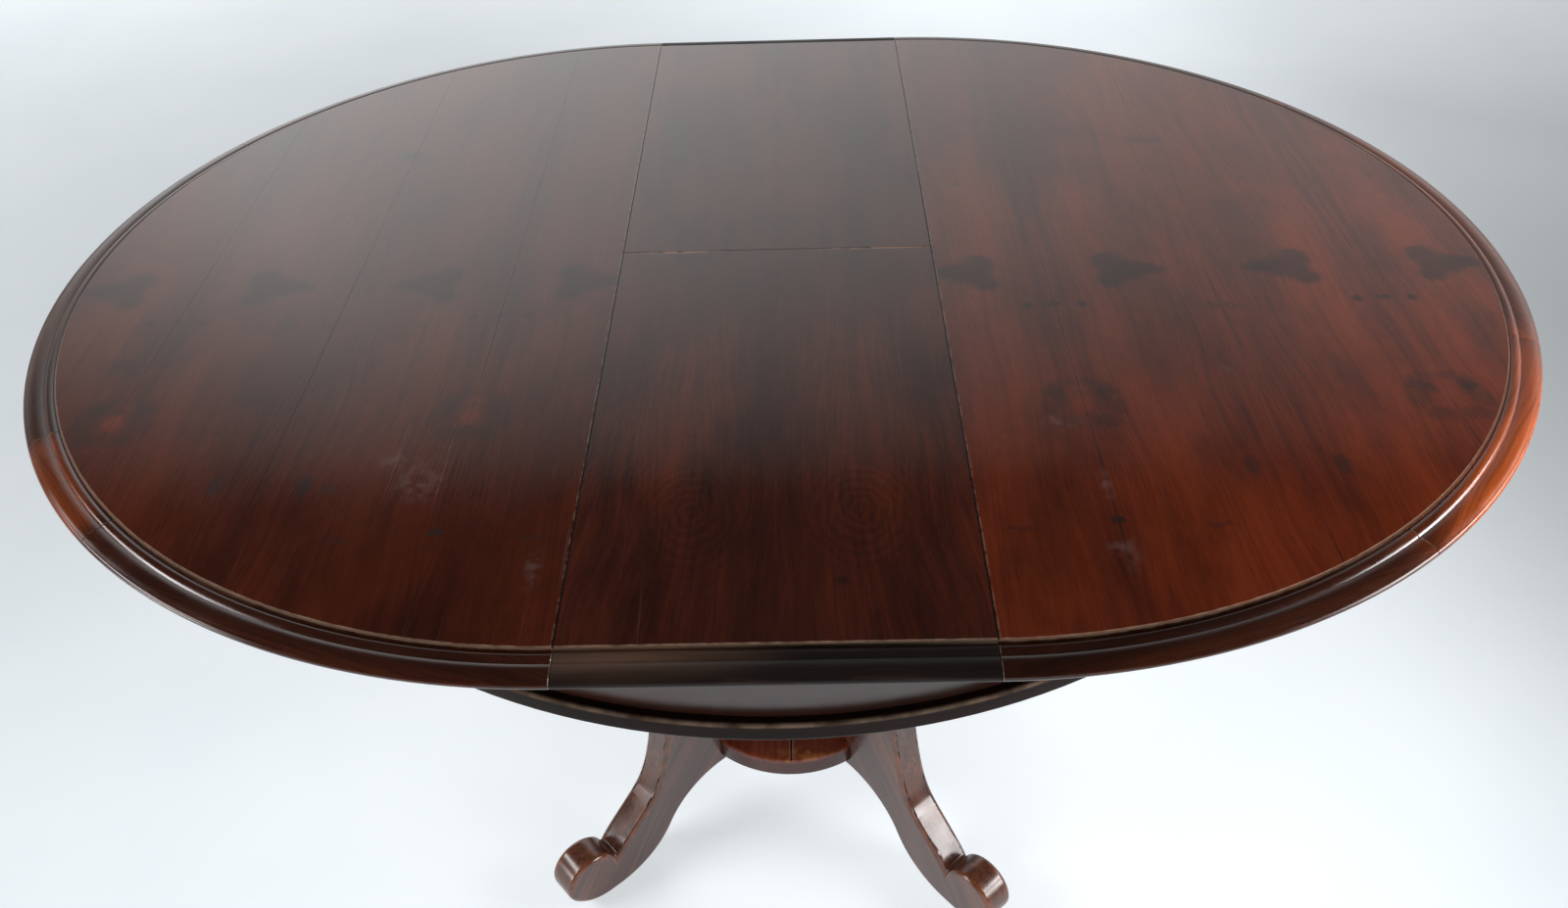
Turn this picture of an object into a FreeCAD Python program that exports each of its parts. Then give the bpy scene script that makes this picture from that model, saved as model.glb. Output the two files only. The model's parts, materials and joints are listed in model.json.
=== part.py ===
import FreeCAD
import Part
import Sketcher
import math
import os
import re

# A round drum table whose top draws apart on wooden slides to take a loose leaf.
# Millimetres, +Z up. The origin is on the floor under the middle of the drum, and the
# halves of the top draw apart along X. The model stands with the leaf in place.

SIZES = (
    # the top
    ("table_height", 745),
    ("top_radius", 500),
    ("leaf_width", 292),
    ("board_thickness", 20),
    ("inner_board_width", 100),
    ("board_width", 145),
    ("outer_board_width", 110),
    ("seam_gap", 0.5),
    # the moulded rim, from its outer nose inwards to the quirk beside the flat top
    ("rim_reach", 28),
    ("rim_depth", 24),
    ("nose_height", 17),
    ("nose_bulge", 6),
    ("cove_round", 12),
    ("bead_width", 8),
    ("bead_bulge", 2),
    ("bead_drop", 3.2),
    ("quirk_lip", 1.5),
    ("quirk_width", 1.5),
    ("quirk_depth", 2.5),
    ("rim_step", 1.5),
    # the drum
    ("frieze_drop", 95),
    ("frieze_inset", 3),
    ("frieze_thickness", 22),
    ("strip_reach", 9),
    ("strip_height", 13),
    ("strip_round", 2.5),
    ("block_size", 26),
    # the slides under the top
    ("runner_height", 38),
    ("loper_width", 32),
    ("loper_past_middle", 90),
    ("rail_width", 30),
    ("rail_offset", 170),
    ("tongue_width", 12),
    ("tongue_height", 8),
    ("groove_stop", 12),
    ("overtravel", 40),
    ("end_room", 6),
    ("slide_gap", 0.4),
    # the cleats under the leaf
    ("cleat_length", 200),
    ("cleat_width", 28),
    ("cleat_thickness", 14),
    ("cleat_near", 60),
    ("cleat_far", 330),
    ("cleat_screw_spacing", 120),
    # the screws
    ("screw_radius", 2.5),
    ("screw_head_radius", 5),
    ("screw_head_height", 3),
    ("screw_grip", 13),
    # the bearers and legs
    ("bearer_width", 56),
    ("bearer_height", 34),
    ("base_turn_angle", 4),
    ("leg_thickness", 38),
    ("leg_reach", 355),
    ("knob_radius", 34),
    ("knob_height", 44),
    ("tenon_shoulder", 12),
    ("tenon_thickness", 14),
    ("tenon_height", 20),
    # the low shelf
    ("shelf_radius", 129),
    ("shelf_height", 105),
    ("shelf_thickness", 29),
    ("shelf_notch", 12),
    ("slot_lip", 17),
    # shared
    ("fit_gap", 0.1),
    ("overrun", 10),
)

ALIASES = {alias for alias, _ in SIZES}

# Where each half's rim is jointed, as shares of its half circle, anticlockwise from above.
LEFT_RIM_SHARES = (("back", 0, 0.333), ("side", 0.333, 0.67), ("patch", 0.67, 0.758), ("front", 0.758, 1))
RIGHT_RIM_SHARES = (("front", 0, 0.206), ("corner", 0.206, 0.395), ("side", 0.395, 0.694), ("back", 0.694, 1))

# Loper screws, as shares of the stretch of loper that lies under its half of the top.
LOPER_SCREW_SHARES = (0.12, 0.3, 0.48, 0.66)

# The leg's edges. Across: shares of the leg's reach. Up: shares of the shelf's height below
# the shelf, and of the height from there to the bearer above it.
HEEL_HEIGHT_SHARE = 0.886
ARCH_START_SHARE = 0.355
SOLE_SHARES = (0.815, 0.851)
INSTEP_SHARES = (0.713, 0.829)
OUTER_EDGE_SHARES = (
    (0.631, 0.024), (0.586, 0.1), (0.555, 0.2), (0.541, 0.32),
    (0.569, 0.465), (0.654, 0.63), (0.775, 0.81), (0.896, 1),
)
INNER_EDGE_SHARES = ((0.704, 1), (0.603, 0.83), (0.501, 0.666), (0.417, 0.5), (0.355, 0.338), (0.31, 0.19))
KNOB_START_ANGLE = -42
KNOB_END_ANGLE = 166

# Quarters of the drum and the legs between them, anticlockwise from the front left diagonal,
# and the turn of the joints between the drum's strips.
QUARTERS = ("front", "right", "back", "left")
LEGS = ("front_left", "front_right", "back_right", "back_left")
QUARTER_ANGLE = 90
STRIP_JOINT_ANGLE = -29
SIDES = (("left", -1), ("right", 1))
ENDS = (("front", -1), ("back", 1))

UP = FreeCAD.Vector(0, 0, 1)

doc = FreeCAD.newDocument("drum_table")
sheet = doc.addObject("Spreadsheet::Sheet", "sizes")
for row, (alias, value) in enumerate(SIZES, start=1):
    cell = "A%d" % row
    sheet.set(cell, str(value))
    sheet.setAlias(cell, alias)
doc.recompute()

nodes = []


def size(rule):
    """The value of a rule over the sheet, such as "table_height - board_thickness"."""
    return float(sheet.evalExpression(in_sheet(rule)))


def in_sheet(rule):
    """The rule with every alias written as a cell of the sheet."""
    return re.sub("[a-z_]+", lambda word: "sizes." * (word[0] in ALIASES) + word[0], rule)


def bind(piece, rules):
    """Bind properties of a piece to rules over the sheet."""
    for name, rule in rules.items():
        piece.setExpression(name, in_sheet(rule))
    return piece


def node(piece):
    """Mark a finished piece as a node of the model, named by its label."""
    nodes.append(piece)
    return piece


def span(sign, near, far):
    """A stretch between two distances from the middle, on the side that the sign gives."""
    if sign > 0:
        return near, far
    return "-1 * (%s)" % far, "-1 * (%s)" % near


def box(label, across, along, up):
    """A squared block between pairs of rules along X, Y and Z."""
    piece = doc.addObject("Part::Box", label)
    for axis, side, (low, high) in zip("xyz", ("Length", "Width", "Height"), (across, along, up)):
        bind(piece, {side: "(%s) - (%s)" % (high, low), "Placement.Base." + axis: low})
    return piece


def cylinder(label, radius, across, up):
    """An upright cylinder on the X axis, between two heights."""
    piece = doc.addObject("Part::Cylinder", label)
    low, high = up
    return bind(piece, {"Radius": radius, "Height": "(%s) - (%s)" % (high, low),
                        "Placement.Base.x": across, "Placement.Base.z": low})


def boolean(kind, label, base, tool):
    """The cut, common or fused shape of two pieces."""
    piece = doc.addObject("Part::" + kind, label)
    piece.Base = base
    piece.Tool = tool
    return piece


def group(label, pieces):
    """Separate solids kept together under one name."""
    piece = doc.addObject("Part::Compound", label)
    piece.Links = pieces
    return piece


def turned(piece, angle):
    """A piece swung round the drum's axis."""
    piece.Placement = FreeCAD.Placement(FreeCAD.Vector(), FreeCAD.Rotation(UP, angle))
    return piece


def diagonal_angle(number):
    """The angle of a diagonal between the quarters, counted from the front left one."""
    return QUARTER_ANGLE * (number - len(QUARTERS) / 2 + 1 / 2)


def leg_angle(number):
    """The angle of a leg, turned a little from its diagonal as the whole base is."""
    return diagonal_angle(number) - size("base_turn_angle")


def arc_through(start, end, radius, turn):
    """The arc of less than half a circle from start to end, anticlockwise where turn is 1."""
    chord = end - start
    rise = math.sqrt(radius ** 2 - (chord.Length / 2) ** 2)
    left = FreeCAD.Vector(-chord.y, chord.x, 0).normalize()
    centre = start + chord * 0.5 + left * (rise * turn)
    first, last = (start, end) if turn > 0 else (end, start)
    angles = [math.atan2(point.y - centre.y, point.x - centre.x) for point in (first, last)]
    return Part.ArcOfCircle(Part.Circle(centre, UP, radius), angles[0], angles[1])


def profile_sketch(body, corners):
    """A closed outline in the body's XZ plane. Each corner is two rules and the edge that
    leaves it: None for a straight line, or a radius rule and the way that an arc turns."""
    sketch = body.newObject("Sketcher::SketchObject", body.Name + "_profile")
    plane = next(item for item in body.Origin.OriginFeatures if item.Role == "XZ_Plane")
    sketch.AttachmentSupport = [(plane, "")]
    sketch.MapMode = "FlatFace"
    points = [FreeCAD.Vector(size(across), size(up), 0) for across, up, _ in corners]
    starts = []
    ends = []
    for index, (_, _, edge) in enumerate(corners):
        start = points[index]
        end = points[(index + 1) % len(points)]
        if edge is None:
            sketch.addGeometry(Part.LineSegment(start, end))
        else:
            sketch.addGeometry(arc_through(start, end, size(edge[0]), edge[1]))
        forward = edge is None or edge[1] > 0
        starts.append((index, 1 if forward else 2))
        ends.append((index, 2 if forward else 1))
    for index, end in enumerate(ends):
        sketch.addConstraint(Sketcher.Constraint("Coincident", *end, *starts[(index + 1) % len(starts)]))
    for index, (across, up, edge) in enumerate(corners):
        for kind, rule, place in (("DistanceX", across, points[index].x), ("DistanceY", up, points[index].y)):
            number = sketch.addConstraint(Sketcher.Constraint(kind, -1, 1, *starts[index], place))
            bind(sketch, {"Constraints[%d]" % number: rule})
        if edge is not None:
            number = sketch.addConstraint(Sketcher.Constraint("Radius", index, size(edge[0])))
            bind(sketch, {"Constraints[%d]" % number: edge[0]})
    return sketch


def spun(label, corners, centre, start_angle, sweep_angle):
    """An outline swept round an upright axis, from one angle and over another."""
    body = doc.addObject("PartDesign::Body", label)
    sketch = profile_sketch(body, corners)
    sweep = body.newObject("PartDesign::Revolution", label + "_sweep")
    sweep.Profile = sketch
    sweep.ReferenceAxis = (sketch, ["V_Axis"])
    sweep.Angle = sweep_angle
    bind(body, {"Placement.Base.x": centre})
    body.Placement.Rotation = FreeCAD.Rotation(UP, start_angle)
    return body


# Heights that several pieces share.
UNDER_TOP = "table_height - board_thickness"
BEARER_TOP = UNDER_TOP + " - runner_height"
BEARER_BOTTOM = BEARER_TOP + " - bearer_height"
FRIEZE_BOTTOM = "table_height - frieze_drop"
RAIL_TOP = UNDER_TOP + " - slide_gap"
LEAF_UNDER = UNDER_TOP + " + slide_gap"
TONGUE_MIDDLE = BEARER_TOP + " + runner_height / 2"
DRUM_OUTSIDE = "top_radius - frieze_inset"
DRUM_INSIDE = DRUM_OUTSIDE + " - frieze_thickness"
SEAM = "leaf_width / 2"


def rim_corners():
    """The rim's section: nose, cove, bead and quirk, with the flat top's edge at its inner side."""
    bottom = "table_height - rim_depth"
    nose = "top_radius + rim_reach - nose_bulge"
    nose_round = "((nose_height / 2) ^ 2 + nose_bulge ^ 2) / (2 * nose_bulge)"
    bead_round = "((bead_width / 2) ^ 2 + bead_bulge ^ 2) / (2 * bead_bulge)"
    bead_inner = "top_radius + quirk_lip + quirk_width"
    bead_foot = "table_height - bead_drop"
    quirk_floor = "table_height - rim_step - quirk_depth"
    quirk_inner = "top_radius + quirk_lip"
    step = "table_height - rim_step"
    return (
        ("top_radius", bottom, None),
        (nose, bottom, (nose_round, 1)),
        (nose, bottom + " + nose_height", ("cove_round", -1)),
        (bead_inner + " + bead_width", bead_foot, (bead_round, 1)),
        (bead_inner, bead_foot, None),
        (bead_inner, quirk_floor, None),
        (quirk_inner, quirk_floor, None),
        (quirk_inner, step, None),
        ("top_radius", step, None),
    )


def strip_corners():
    """The rounded strip round the foot of the frieze."""
    outer = DRUM_OUTSIDE + " + strip_reach"
    top = FRIEZE_BOTTOM + " + strip_height"
    return (
        (DRUM_OUTSIDE, FRIEZE_BOTTOM, None),
        (outer + " - strip_round", FRIEZE_BOTTOM, ("strip_round", 1)),
        (outer, FRIEZE_BOTTOM + " + strip_round", None),
        (outer, top + " - strip_round", ("strip_round", 1)),
        (outer + " - strip_round", top, None),
        (DRUM_OUTSIDE, top, None),
    )


def frieze_corners():
    """The plain upright wall of the drum."""
    return (
        (DRUM_INSIDE, FRIEZE_BOTTOM, None),
        (DRUM_OUTSIDE, FRIEZE_BOTTOM, None),
        (DRUM_OUTSIDE, RAIL_TOP, None),
        (DRUM_INSIDE, RAIL_TOP, None),
    )


def screw(label, across, along, head, length, way):
    """A wood screw with its head at a height and driven upwards, or down where way is -1."""
    cone = doc.addObject("Part::Cone", label + "_head")
    shank = doc.addObject("Part::Cylinder", label + "_shank")
    wide, slim = ("Radius1", "Radius2") if way > 0 else ("Radius2", "Radius1")
    bind(cone, {wide: "screw_head_radius", slim: "screw_radius", "Height": "screw_head_height"})
    bind(shank, {"Radius": "screw_radius", "Height": length})
    for piece, drop in ((cone, "screw_head_height"), (shank, length)):
        foot = head if way > 0 else "%s - (%s)" % (head, drop)
        bind(piece, {"Placement.Base.x": across, "Placement.Base.y": along, "Placement.Base.z": foot})
    return boolean("Fuse", label, cone, shank)


def half_top(side, sign, rim_shares):
    """The boards and rim segments of one half of the top. The widths of the boards are those
    of their stock, planed in proportion until the four fill the radius."""
    stock = "(inner_board_width + 2 * board_width + outer_board_width)"
    first_joint = "inner_board_width * top_radius / " + stock
    second_joint = "(inner_board_width + board_width) * top_radius / " + stock
    third_joint = "(inner_board_width + 2 * board_width) * top_radius / " + stock
    boards = (("inner", "0", first_joint), ("second", first_joint, second_joint),
              ("third", second_joint, third_joint), ("outer", third_joint, "top_radius + overrun"))
    centre = "%d * leaf_width / 2" % sign
    for name, near, far in boards:
        label = "%s_%s_board" % (side, name)
        disc = cylinder(label + "_round", "top_radius", centre, (UNDER_TOP, "table_height"))
        plank = box(label + "_plank", span(sign, SEAM + " + " + near, SEAM + " + " + far),
                    ("-1 * top_radius - overrun", "top_radius + overrun"), (UNDER_TOP, "table_height"))
        node(boolean("Common", label, disc, plank))
    first_angle = 90 if sign < 0 else -90
    for name, start_share, end_share in rim_shares:
        label = "%s_rim_%s" % (side, name)
        start_angle = first_angle + 180 * start_share
        node(spun(label, rim_corners(), centre, start_angle, 180 * (end_share - start_share)))


def lane(sign):
    """The stretch of Y, away from the middle, that a half's lopers run in: the left half's
    lie outside the rails and the right half's between them."""
    if sign < 0:
        near = "rail_offset + rail_width / 2 + slide_gap"
        return near, near + " + loper_width"
    far = "rail_offset - rail_width / 2 - slide_gap"
    return far + " - loper_width", far


def loper_end(sign):
    """How far out a half's lopers reach, so that they stay in the drum when drawn out."""
    far = lane(sign)[1]
    return "sqrt((%s) ^ 2 - (%s) ^ 2) - overtravel - end_room" % (DRUM_INSIDE, far)


def half_lopers(side, sign):
    """The two sliding bearers of one half, each with a stopped groove, and their screws."""
    near, far = lane(sign)
    outer = loper_end(sign)
    foot = BEARER_TOP + " + slide_gap"
    screws = []
    for end, end_sign in ENDS:
        label = "%s_%s_loper" % (side, end)
        bar = box(label + "_bar", span(sign, "-1 * loper_past_middle", outer), span(end_sign, near, far),
                  (foot, UNDER_TOP))
        reach = "tongue_width / 2 + slide_gap"
        if sign < 0:
            faces = (near + " - overrun", near + " + " + reach)
        else:
            faces = (far + " - " + reach, far + " + overrun")
        groove = box(label + "_groove",
                     span(sign, "-1 * loper_past_middle + groove_stop", outer + " + overrun"),
                     span(end_sign, *faces),
                     (TONGUE_MIDDLE + " - tongue_height / 2 - slide_gap",
                      TONGUE_MIDDLE + " + tongue_height / 2 + slide_gap"))
        node(boolean("Cut", label, bar, groove))
        middle = "%d * (%s + %s) / 2" % (end_sign, near, far)
        for number, share in enumerate(LOPER_SCREW_SHARES, start=1):
            across = "%d * (%s + %s * (%s - %s))" % (sign, SEAM, share, outer, SEAM)
            length = UNDER_TOP + " - (%s) + screw_grip" % foot
            screws.append(screw("%s_screw_%d" % (label, number), across, middle, foot, length, 1))
    node(group(side + "_loper_screws", screws))


def half_leaf(end, sign):
    """One loose half of the leaf: boards, end moulding, cleats and cleat screws."""
    inner = "seam_gap / 2"
    for side, side_sign in SIDES:
        node(box("%s_leaf_%s_board" % (end, side), span(side_sign, "0", SEAM + " - seam_gap"),
                 span(sign, inner, "top_radius"), (LEAF_UNDER, "table_height")))
    body = doc.addObject("PartDesign::Body", end + "_leaf_moulding")
    sketch = profile_sketch(body, rim_corners())
    pad = body.newObject("PartDesign::Pad", end + "_leaf_moulding_length")
    pad.Profile = sketch
    bind(pad, {"Length": "leaf_width - 2 * seam_gap"})
    bind(body, {"Placement.Base.x": "%d * (%s - seam_gap)" % (-sign, SEAM)})
    body.Placement.Rotation = FreeCAD.Rotation(UP, 90 * sign)
    node(body)
    cleats = []
    screws = []
    foot = LEAF_UNDER + " - cleat_thickness"
    for place in ("cleat_near", "cleat_far"):
        label = "%s_leaf_%s" % (end, place)
        along = span(sign, place + " - cleat_width / 2", place + " + cleat_width / 2")
        cleats.append(box(label, ("-1 * cleat_length / 2", "cleat_length / 2"), along, (foot, LEAF_UNDER)))
        for side, side_sign in SIDES:
            across = "%d * cleat_screw_spacing / 2" % side_sign
            middle = "%d * %s" % (sign, place)
            length = "cleat_thickness + screw_grip"
            screws.append(screw("%s_%s_screw" % (label, side), across, middle, foot, length, 1))
    node(group(end + "_leaf_cleats", cleats))
    node(group(end + "_leaf_screws", screws))


def drum_core(label):
    """The room inside the frieze, which trims the ends of what meets its wall."""
    return cylinder(label, DRUM_INSIDE + " - fit_gap", "0", ("0", "table_height"))


def rail_face(lane_sign):
    """The side of a rail that a half's lopers run against."""
    if lane_sign < 0:
        return "rail_offset + rail_width / 2"
    return "rail_offset - rail_width / 2"


def slide_rail(end, end_sign):
    """A fixed rail with a groove in each side, and the two tongues let into them. Each tongue
    ends where the closed end of its loper's groove meets it, which stops the half."""
    drum = ("-1 * (%s)" % DRUM_INSIDE, DRUM_INSIDE)
    rail = box(end + "_rail_bar", drum,
               span(end_sign, "rail_offset - rail_width / 2", "rail_offset + rail_width / 2"),
               (BEARER_TOP, RAIL_TOP))
    height = (TONGUE_MIDDLE + " - tongue_height / 2", TONGUE_MIDDLE + " + tongue_height / 2")
    stop = "loper_past_middle - groove_stop - overtravel - slide_gap"
    for side, sign in SIDES:
        face = rail_face(sign)
        across = span(end_sign, face + " - tongue_width / 2", face + " + tongue_width / 2")
        groove = box("%s_%s_rail_groove" % (end, side), drum, across, height)
        rail = boolean("Cut", "%s_%s_grooved_rail" % (end, side), rail, groove)
        label = "%s_%s_tongue" % (end, side)
        strip = box(label + "_strip", span(sign, "-1 * (%s)" % stop, DRUM_INSIDE), across, height)
        node(boolean("Common", label, strip, drum_core(label + "_core")))
    node(boolean("Common", end + "_rail", rail, drum_core(end + "_rail_core")))


def rail_screws():
    """Screws driven down through the rails where they cross the bearers."""
    screws = []
    for end, end_sign in ENDS:
        for side, sign in SIDES:
            crossing = "(45 - %d * base_turn_angle) * 1 deg" % (sign * end_sign)
            across = "%d * rail_offset / tan(%s)" % (sign, crossing)
            along = "%d * rail_offset" % end_sign
            screws.append(screw("%s_%s_rail_screw" % (end, side), across, along, RAIL_TOP,
                                "runner_height - slide_gap + screw_grip", -1))
    node(group("rail_screws", screws))


def bearer(label, angle, lap):
    """A cross bearer with a mortise at each end for a leg, halved at the middle."""
    half_width = "bearer_width / 2"
    bar = box(label + "_bar", ("-1 * (%s)" % DRUM_INSIDE, DRUM_INSIDE),
              ("-1 * " + half_width, half_width), (BEARER_BOTTOM, BEARER_TOP))
    notch = box(label + "_lap", ("-1 * %s - fit_gap" % half_width, half_width + " + fit_gap"),
                ("-1 * %s - overrun" % half_width, half_width + " + overrun"), lap)
    piece = boolean("Cut", label + "_lapped", bar, notch)
    near, far = tenon_span()
    for side, sign in SIDES:
        mortise = box("%s_%s_mortise" % (label, side), span(sign, near + " - fit_gap", far + " + fit_gap"),
                      ("-1 * tenon_thickness / 2 - fit_gap", "tenon_thickness / 2 + fit_gap"),
                      (BEARER_BOTTOM + " - overrun", BEARER_BOTTOM + " + tenon_height + fit_gap"))
        piece = boolean("Cut", "%s_%s_mortised" % (label, side), piece, mortise)
    node(turned(boolean("Common", label, piece, drum_core(label + "_core")), angle))


def tenon_span():
    """Where the tenon stands along the leg's reach."""
    inner_share = INNER_EDGE_SHARES[0][0]
    outer_share = OUTER_EDGE_SHARES[-1][0]
    return "leg_reach * %s + tenon_shoulder" % inner_share, "leg_reach * %s - tenon_shoulder" % outer_share


def glue_blocks(angles):
    """Blocks on both sides of each bearer's ends, against the frieze."""
    sets = []
    for number, angle in enumerate(angles, start=1):
        blocks = []
        for side, sign in SIDES:
            for end, end_sign in ENDS:
                label = "glue_block_%d_%s_%s" % (number, side, end)
                block = box(label + "_square", span(sign, DRUM_INSIDE + " - block_size", DRUM_INSIDE),
                            span(end_sign, "bearer_width / 2", "bearer_width / 2 + block_size"),
                            (BEARER_BOTTOM, BEARER_TOP))
                blocks.append(boolean("Common", label, block, drum_core(label + "_core")))
        sets.append(turned(group("glue_block_set_%d" % number, blocks), angle))
    node(group("glue_blocks", sets))


def swung_arc(start, across, up, away):
    """The arc that leaves start level and ends at the given distance across and up, or that
    starts so and ends level where away is false."""
    radius = (across ** 2 + up ** 2) / (2 * abs(up))
    half = math.atan2(abs(up), across)
    run = radius * math.sin(half)
    rise = math.copysign(radius * (1 - math.cos(half)), up)
    end = start + FreeCAD.Vector(across, 0, up)
    middle = start + FreeCAD.Vector(run, 0, rise)
    if not away:
        middle = end - FreeCAD.Vector(run, 0, rise)
    return Part.Arc(start, middle, end)


def leg_shape():
    """A scroll leg along +X: sole, round knob, swept edges, shelf slot and tenon."""
    reach = size("leg_reach")
    low = size("shelf_height")
    top = size(BEARER_BOTTOM)
    radius = size("knob_radius")
    thickness = size("leg_thickness")
    slot_floor = size("shelf_radius - shelf_notch")
    heel = slot_floor - size("slot_lip")

    def point(across, up):
        return FreeCAD.Vector(across, -thickness / 2, up)

    def above_shelf(shares):
        return [point(reach * across, low + (top - low) * up) for across, up in shares]

    def on_knob(angle):
        turn = math.radians(angle)
        return point(reach - radius + radius * math.cos(turn), size("knob_height") + radius * math.sin(turn))

    heel_foot = point(heel, low * HEEL_HEIGHT_SHARE)
    arch_start = point(reach * ARCH_START_SHARE, heel_foot.z)
    sole_start = point(reach * SOLE_SHARES[0], 0)
    sole_end = point(reach * SOLE_SHARES[1], 0)
    arch_run = (sole_start.x - arch_start.x) / 2
    arch_drop = -heel_foot.z / 2
    arch_middle = arch_start + FreeCAD.Vector(arch_run, 0, arch_drop)
    knob_start = on_knob(KNOB_START_ANGLE)
    knob_end = on_knob(KNOB_END_ANGLE)
    instep = point(reach * INSTEP_SHARES[0], low * INSTEP_SHARES[1])
    heel_head = point(heel, size("shelf_height + shelf_thickness + slot_lip"))
    outer_edge = Part.BSplineCurve()
    outer_edge.interpolate([knob_end, instep] + above_shelf(OUTER_EDGE_SHARES))
    inner_edge = Part.BSplineCurve()
    inner_edge.interpolate(above_shelf(INNER_EDGE_SHARES) + [heel_head])
    curves = (
        Part.LineSegment(heel_foot, arch_start),
        swung_arc(arch_start, arch_run, arch_drop, True),
        swung_arc(arch_middle, arch_run, arch_drop, False),
        Part.LineSegment(sole_start, sole_end),
        swung_arc(sole_end, knob_start.x - sole_end.x, knob_start.z, True),
        Part.Arc(knob_start, on_knob((KNOB_START_ANGLE + KNOB_END_ANGLE) / 2), knob_end),
        outer_edge,
        Part.LineSegment(outer_edge.EndPoint, inner_edge.StartPoint),
        inner_edge,
        Part.LineSegment(heel_head, heel_foot),
    )
    outline = Part.Wire([curve.toShape() for curve in curves])
    leg = Part.Face(outline).extrude(FreeCAD.Vector(0, thickness, 0))
    slot_height = size("shelf_thickness + fit_gap")
    slot = Part.makeBox(slot_floor + size("fit_gap"), thickness, slot_height, point(0, low))
    tenon_near, tenon_far = (size(rule) for rule in tenon_span())
    tenon_thickness = size("tenon_thickness")
    corner = FreeCAD.Vector(tenon_near, -tenon_thickness / 2, top)
    tenon = Part.makeBox(tenon_far - tenon_near, tenon_thickness, size("tenon_height"), corner)
    return leg.cut(slot).fuse(tenon).removeSplitter()


def legs():
    """The four legs, all from one shape."""
    shape = leg_shape()
    for number, name in enumerate(LEGS):
        leg = doc.addObject("Part::Feature", "leg_" + name)
        leg.Shape = shape
        node(turned(leg, leg_angle(number)))


def shelf():
    """The low round shelf in two boards, notched over the legs."""
    up = ("shelf_height", "shelf_height + shelf_thickness")
    over = ("shelf_height - overrun", "shelf_height + shelf_thickness + overrun")
    depth = ("shelf_radius - shelf_notch", "shelf_radius + overrun")
    half = "leg_thickness / 2 + fit_gap"
    for side, sign in SIDES:
        label = "shelf_%s_board" % side
        disc = cylinder(label + "_round", "shelf_radius", "0", up)
        plank = box(label + "_plank", span(sign, "0", "shelf_radius + overrun"),
                    ("-1 * shelf_radius - overrun", "shelf_radius + overrun"), up)
        piece = boolean("Common", label + "_blank", disc, plank)
        notches = []
        for number, name in enumerate(LEGS):
            notch = box("%s_%s_notch" % (label, name), depth, ("-1 * (%s)" % half, half), over)
            swung = group("%s_%s_swung_notch" % (label, name), [notch])
            notches.append(turned(swung, leg_angle(number)))
        node(boolean("Cut", label, piece, group(label + "_notches", notches)))


def drum_wall():
    """The frieze in quarters, and the strip round its foot with joints elsewhere."""
    for number, name in enumerate(QUARTERS):
        node(spun("frieze_" + name, frieze_corners(), "0", diagonal_angle(number), QUARTER_ANGLE))
    for number, name in enumerate(QUARTERS):
        start_angle = diagonal_angle(number) + STRIP_JOINT_ANGLE
        node(spun("drum_bead_" + name, strip_corners(), "0", start_angle, QUARTER_ANGLE))


def bearers():
    """The two bearers that cross under the drum, each over two opposite legs."""
    lap_middle = BEARER_BOTTOM + " + bearer_height / 2"
    lower_angle = leg_angle(LEGS.index("front_right"))
    upper_angle = leg_angle(LEGS.index("back_right"))
    bearer("lower_bearer", lower_angle, (lap_middle, BEARER_TOP + " + overrun"))
    bearer("upper_bearer", upper_angle, (BEARER_BOTTOM + " - overrun", lap_middle))
    glue_blocks((lower_angle, upper_angle))


def check_document():
    """Stop if any object failed, or any node has no sound shape."""
    for item in doc.Objects:
        if "Invalid" in item.State or "Error" in item.State:
            raise RuntimeError("%s failed: %s" % (item.Label, item.State))
    for piece in nodes:
        if piece.Shape.isNull() or not piece.Shape.isValid():
            raise RuntimeError("%s has no sound shape" % piece.Label)


legs()
shelf()
bearers()
drum_wall()
for end, end_sign in ENDS:
    slide_rail(end, end_sign)
rail_screws()
for (side, sign), rim_shares in zip(SIDES, (LEFT_RIM_SHARES, RIGHT_RIM_SHARES)):
    half_top(side, sign, rim_shares)
    half_lopers(side, sign)
for end, end_sign in ENDS:
    half_leaf(end, end_sign)
doc.recompute()
check_document()

os.makedirs("parts", exist_ok=True)
for piece in nodes:
    piece.Shape.exportStep("parts/%s.step" % piece.Label)
print(len(nodes), "nodes written")
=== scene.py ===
import json
import math
from functools import partial

import bmesh
import bpy
from mathutils import Matrix, Vector

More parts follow.
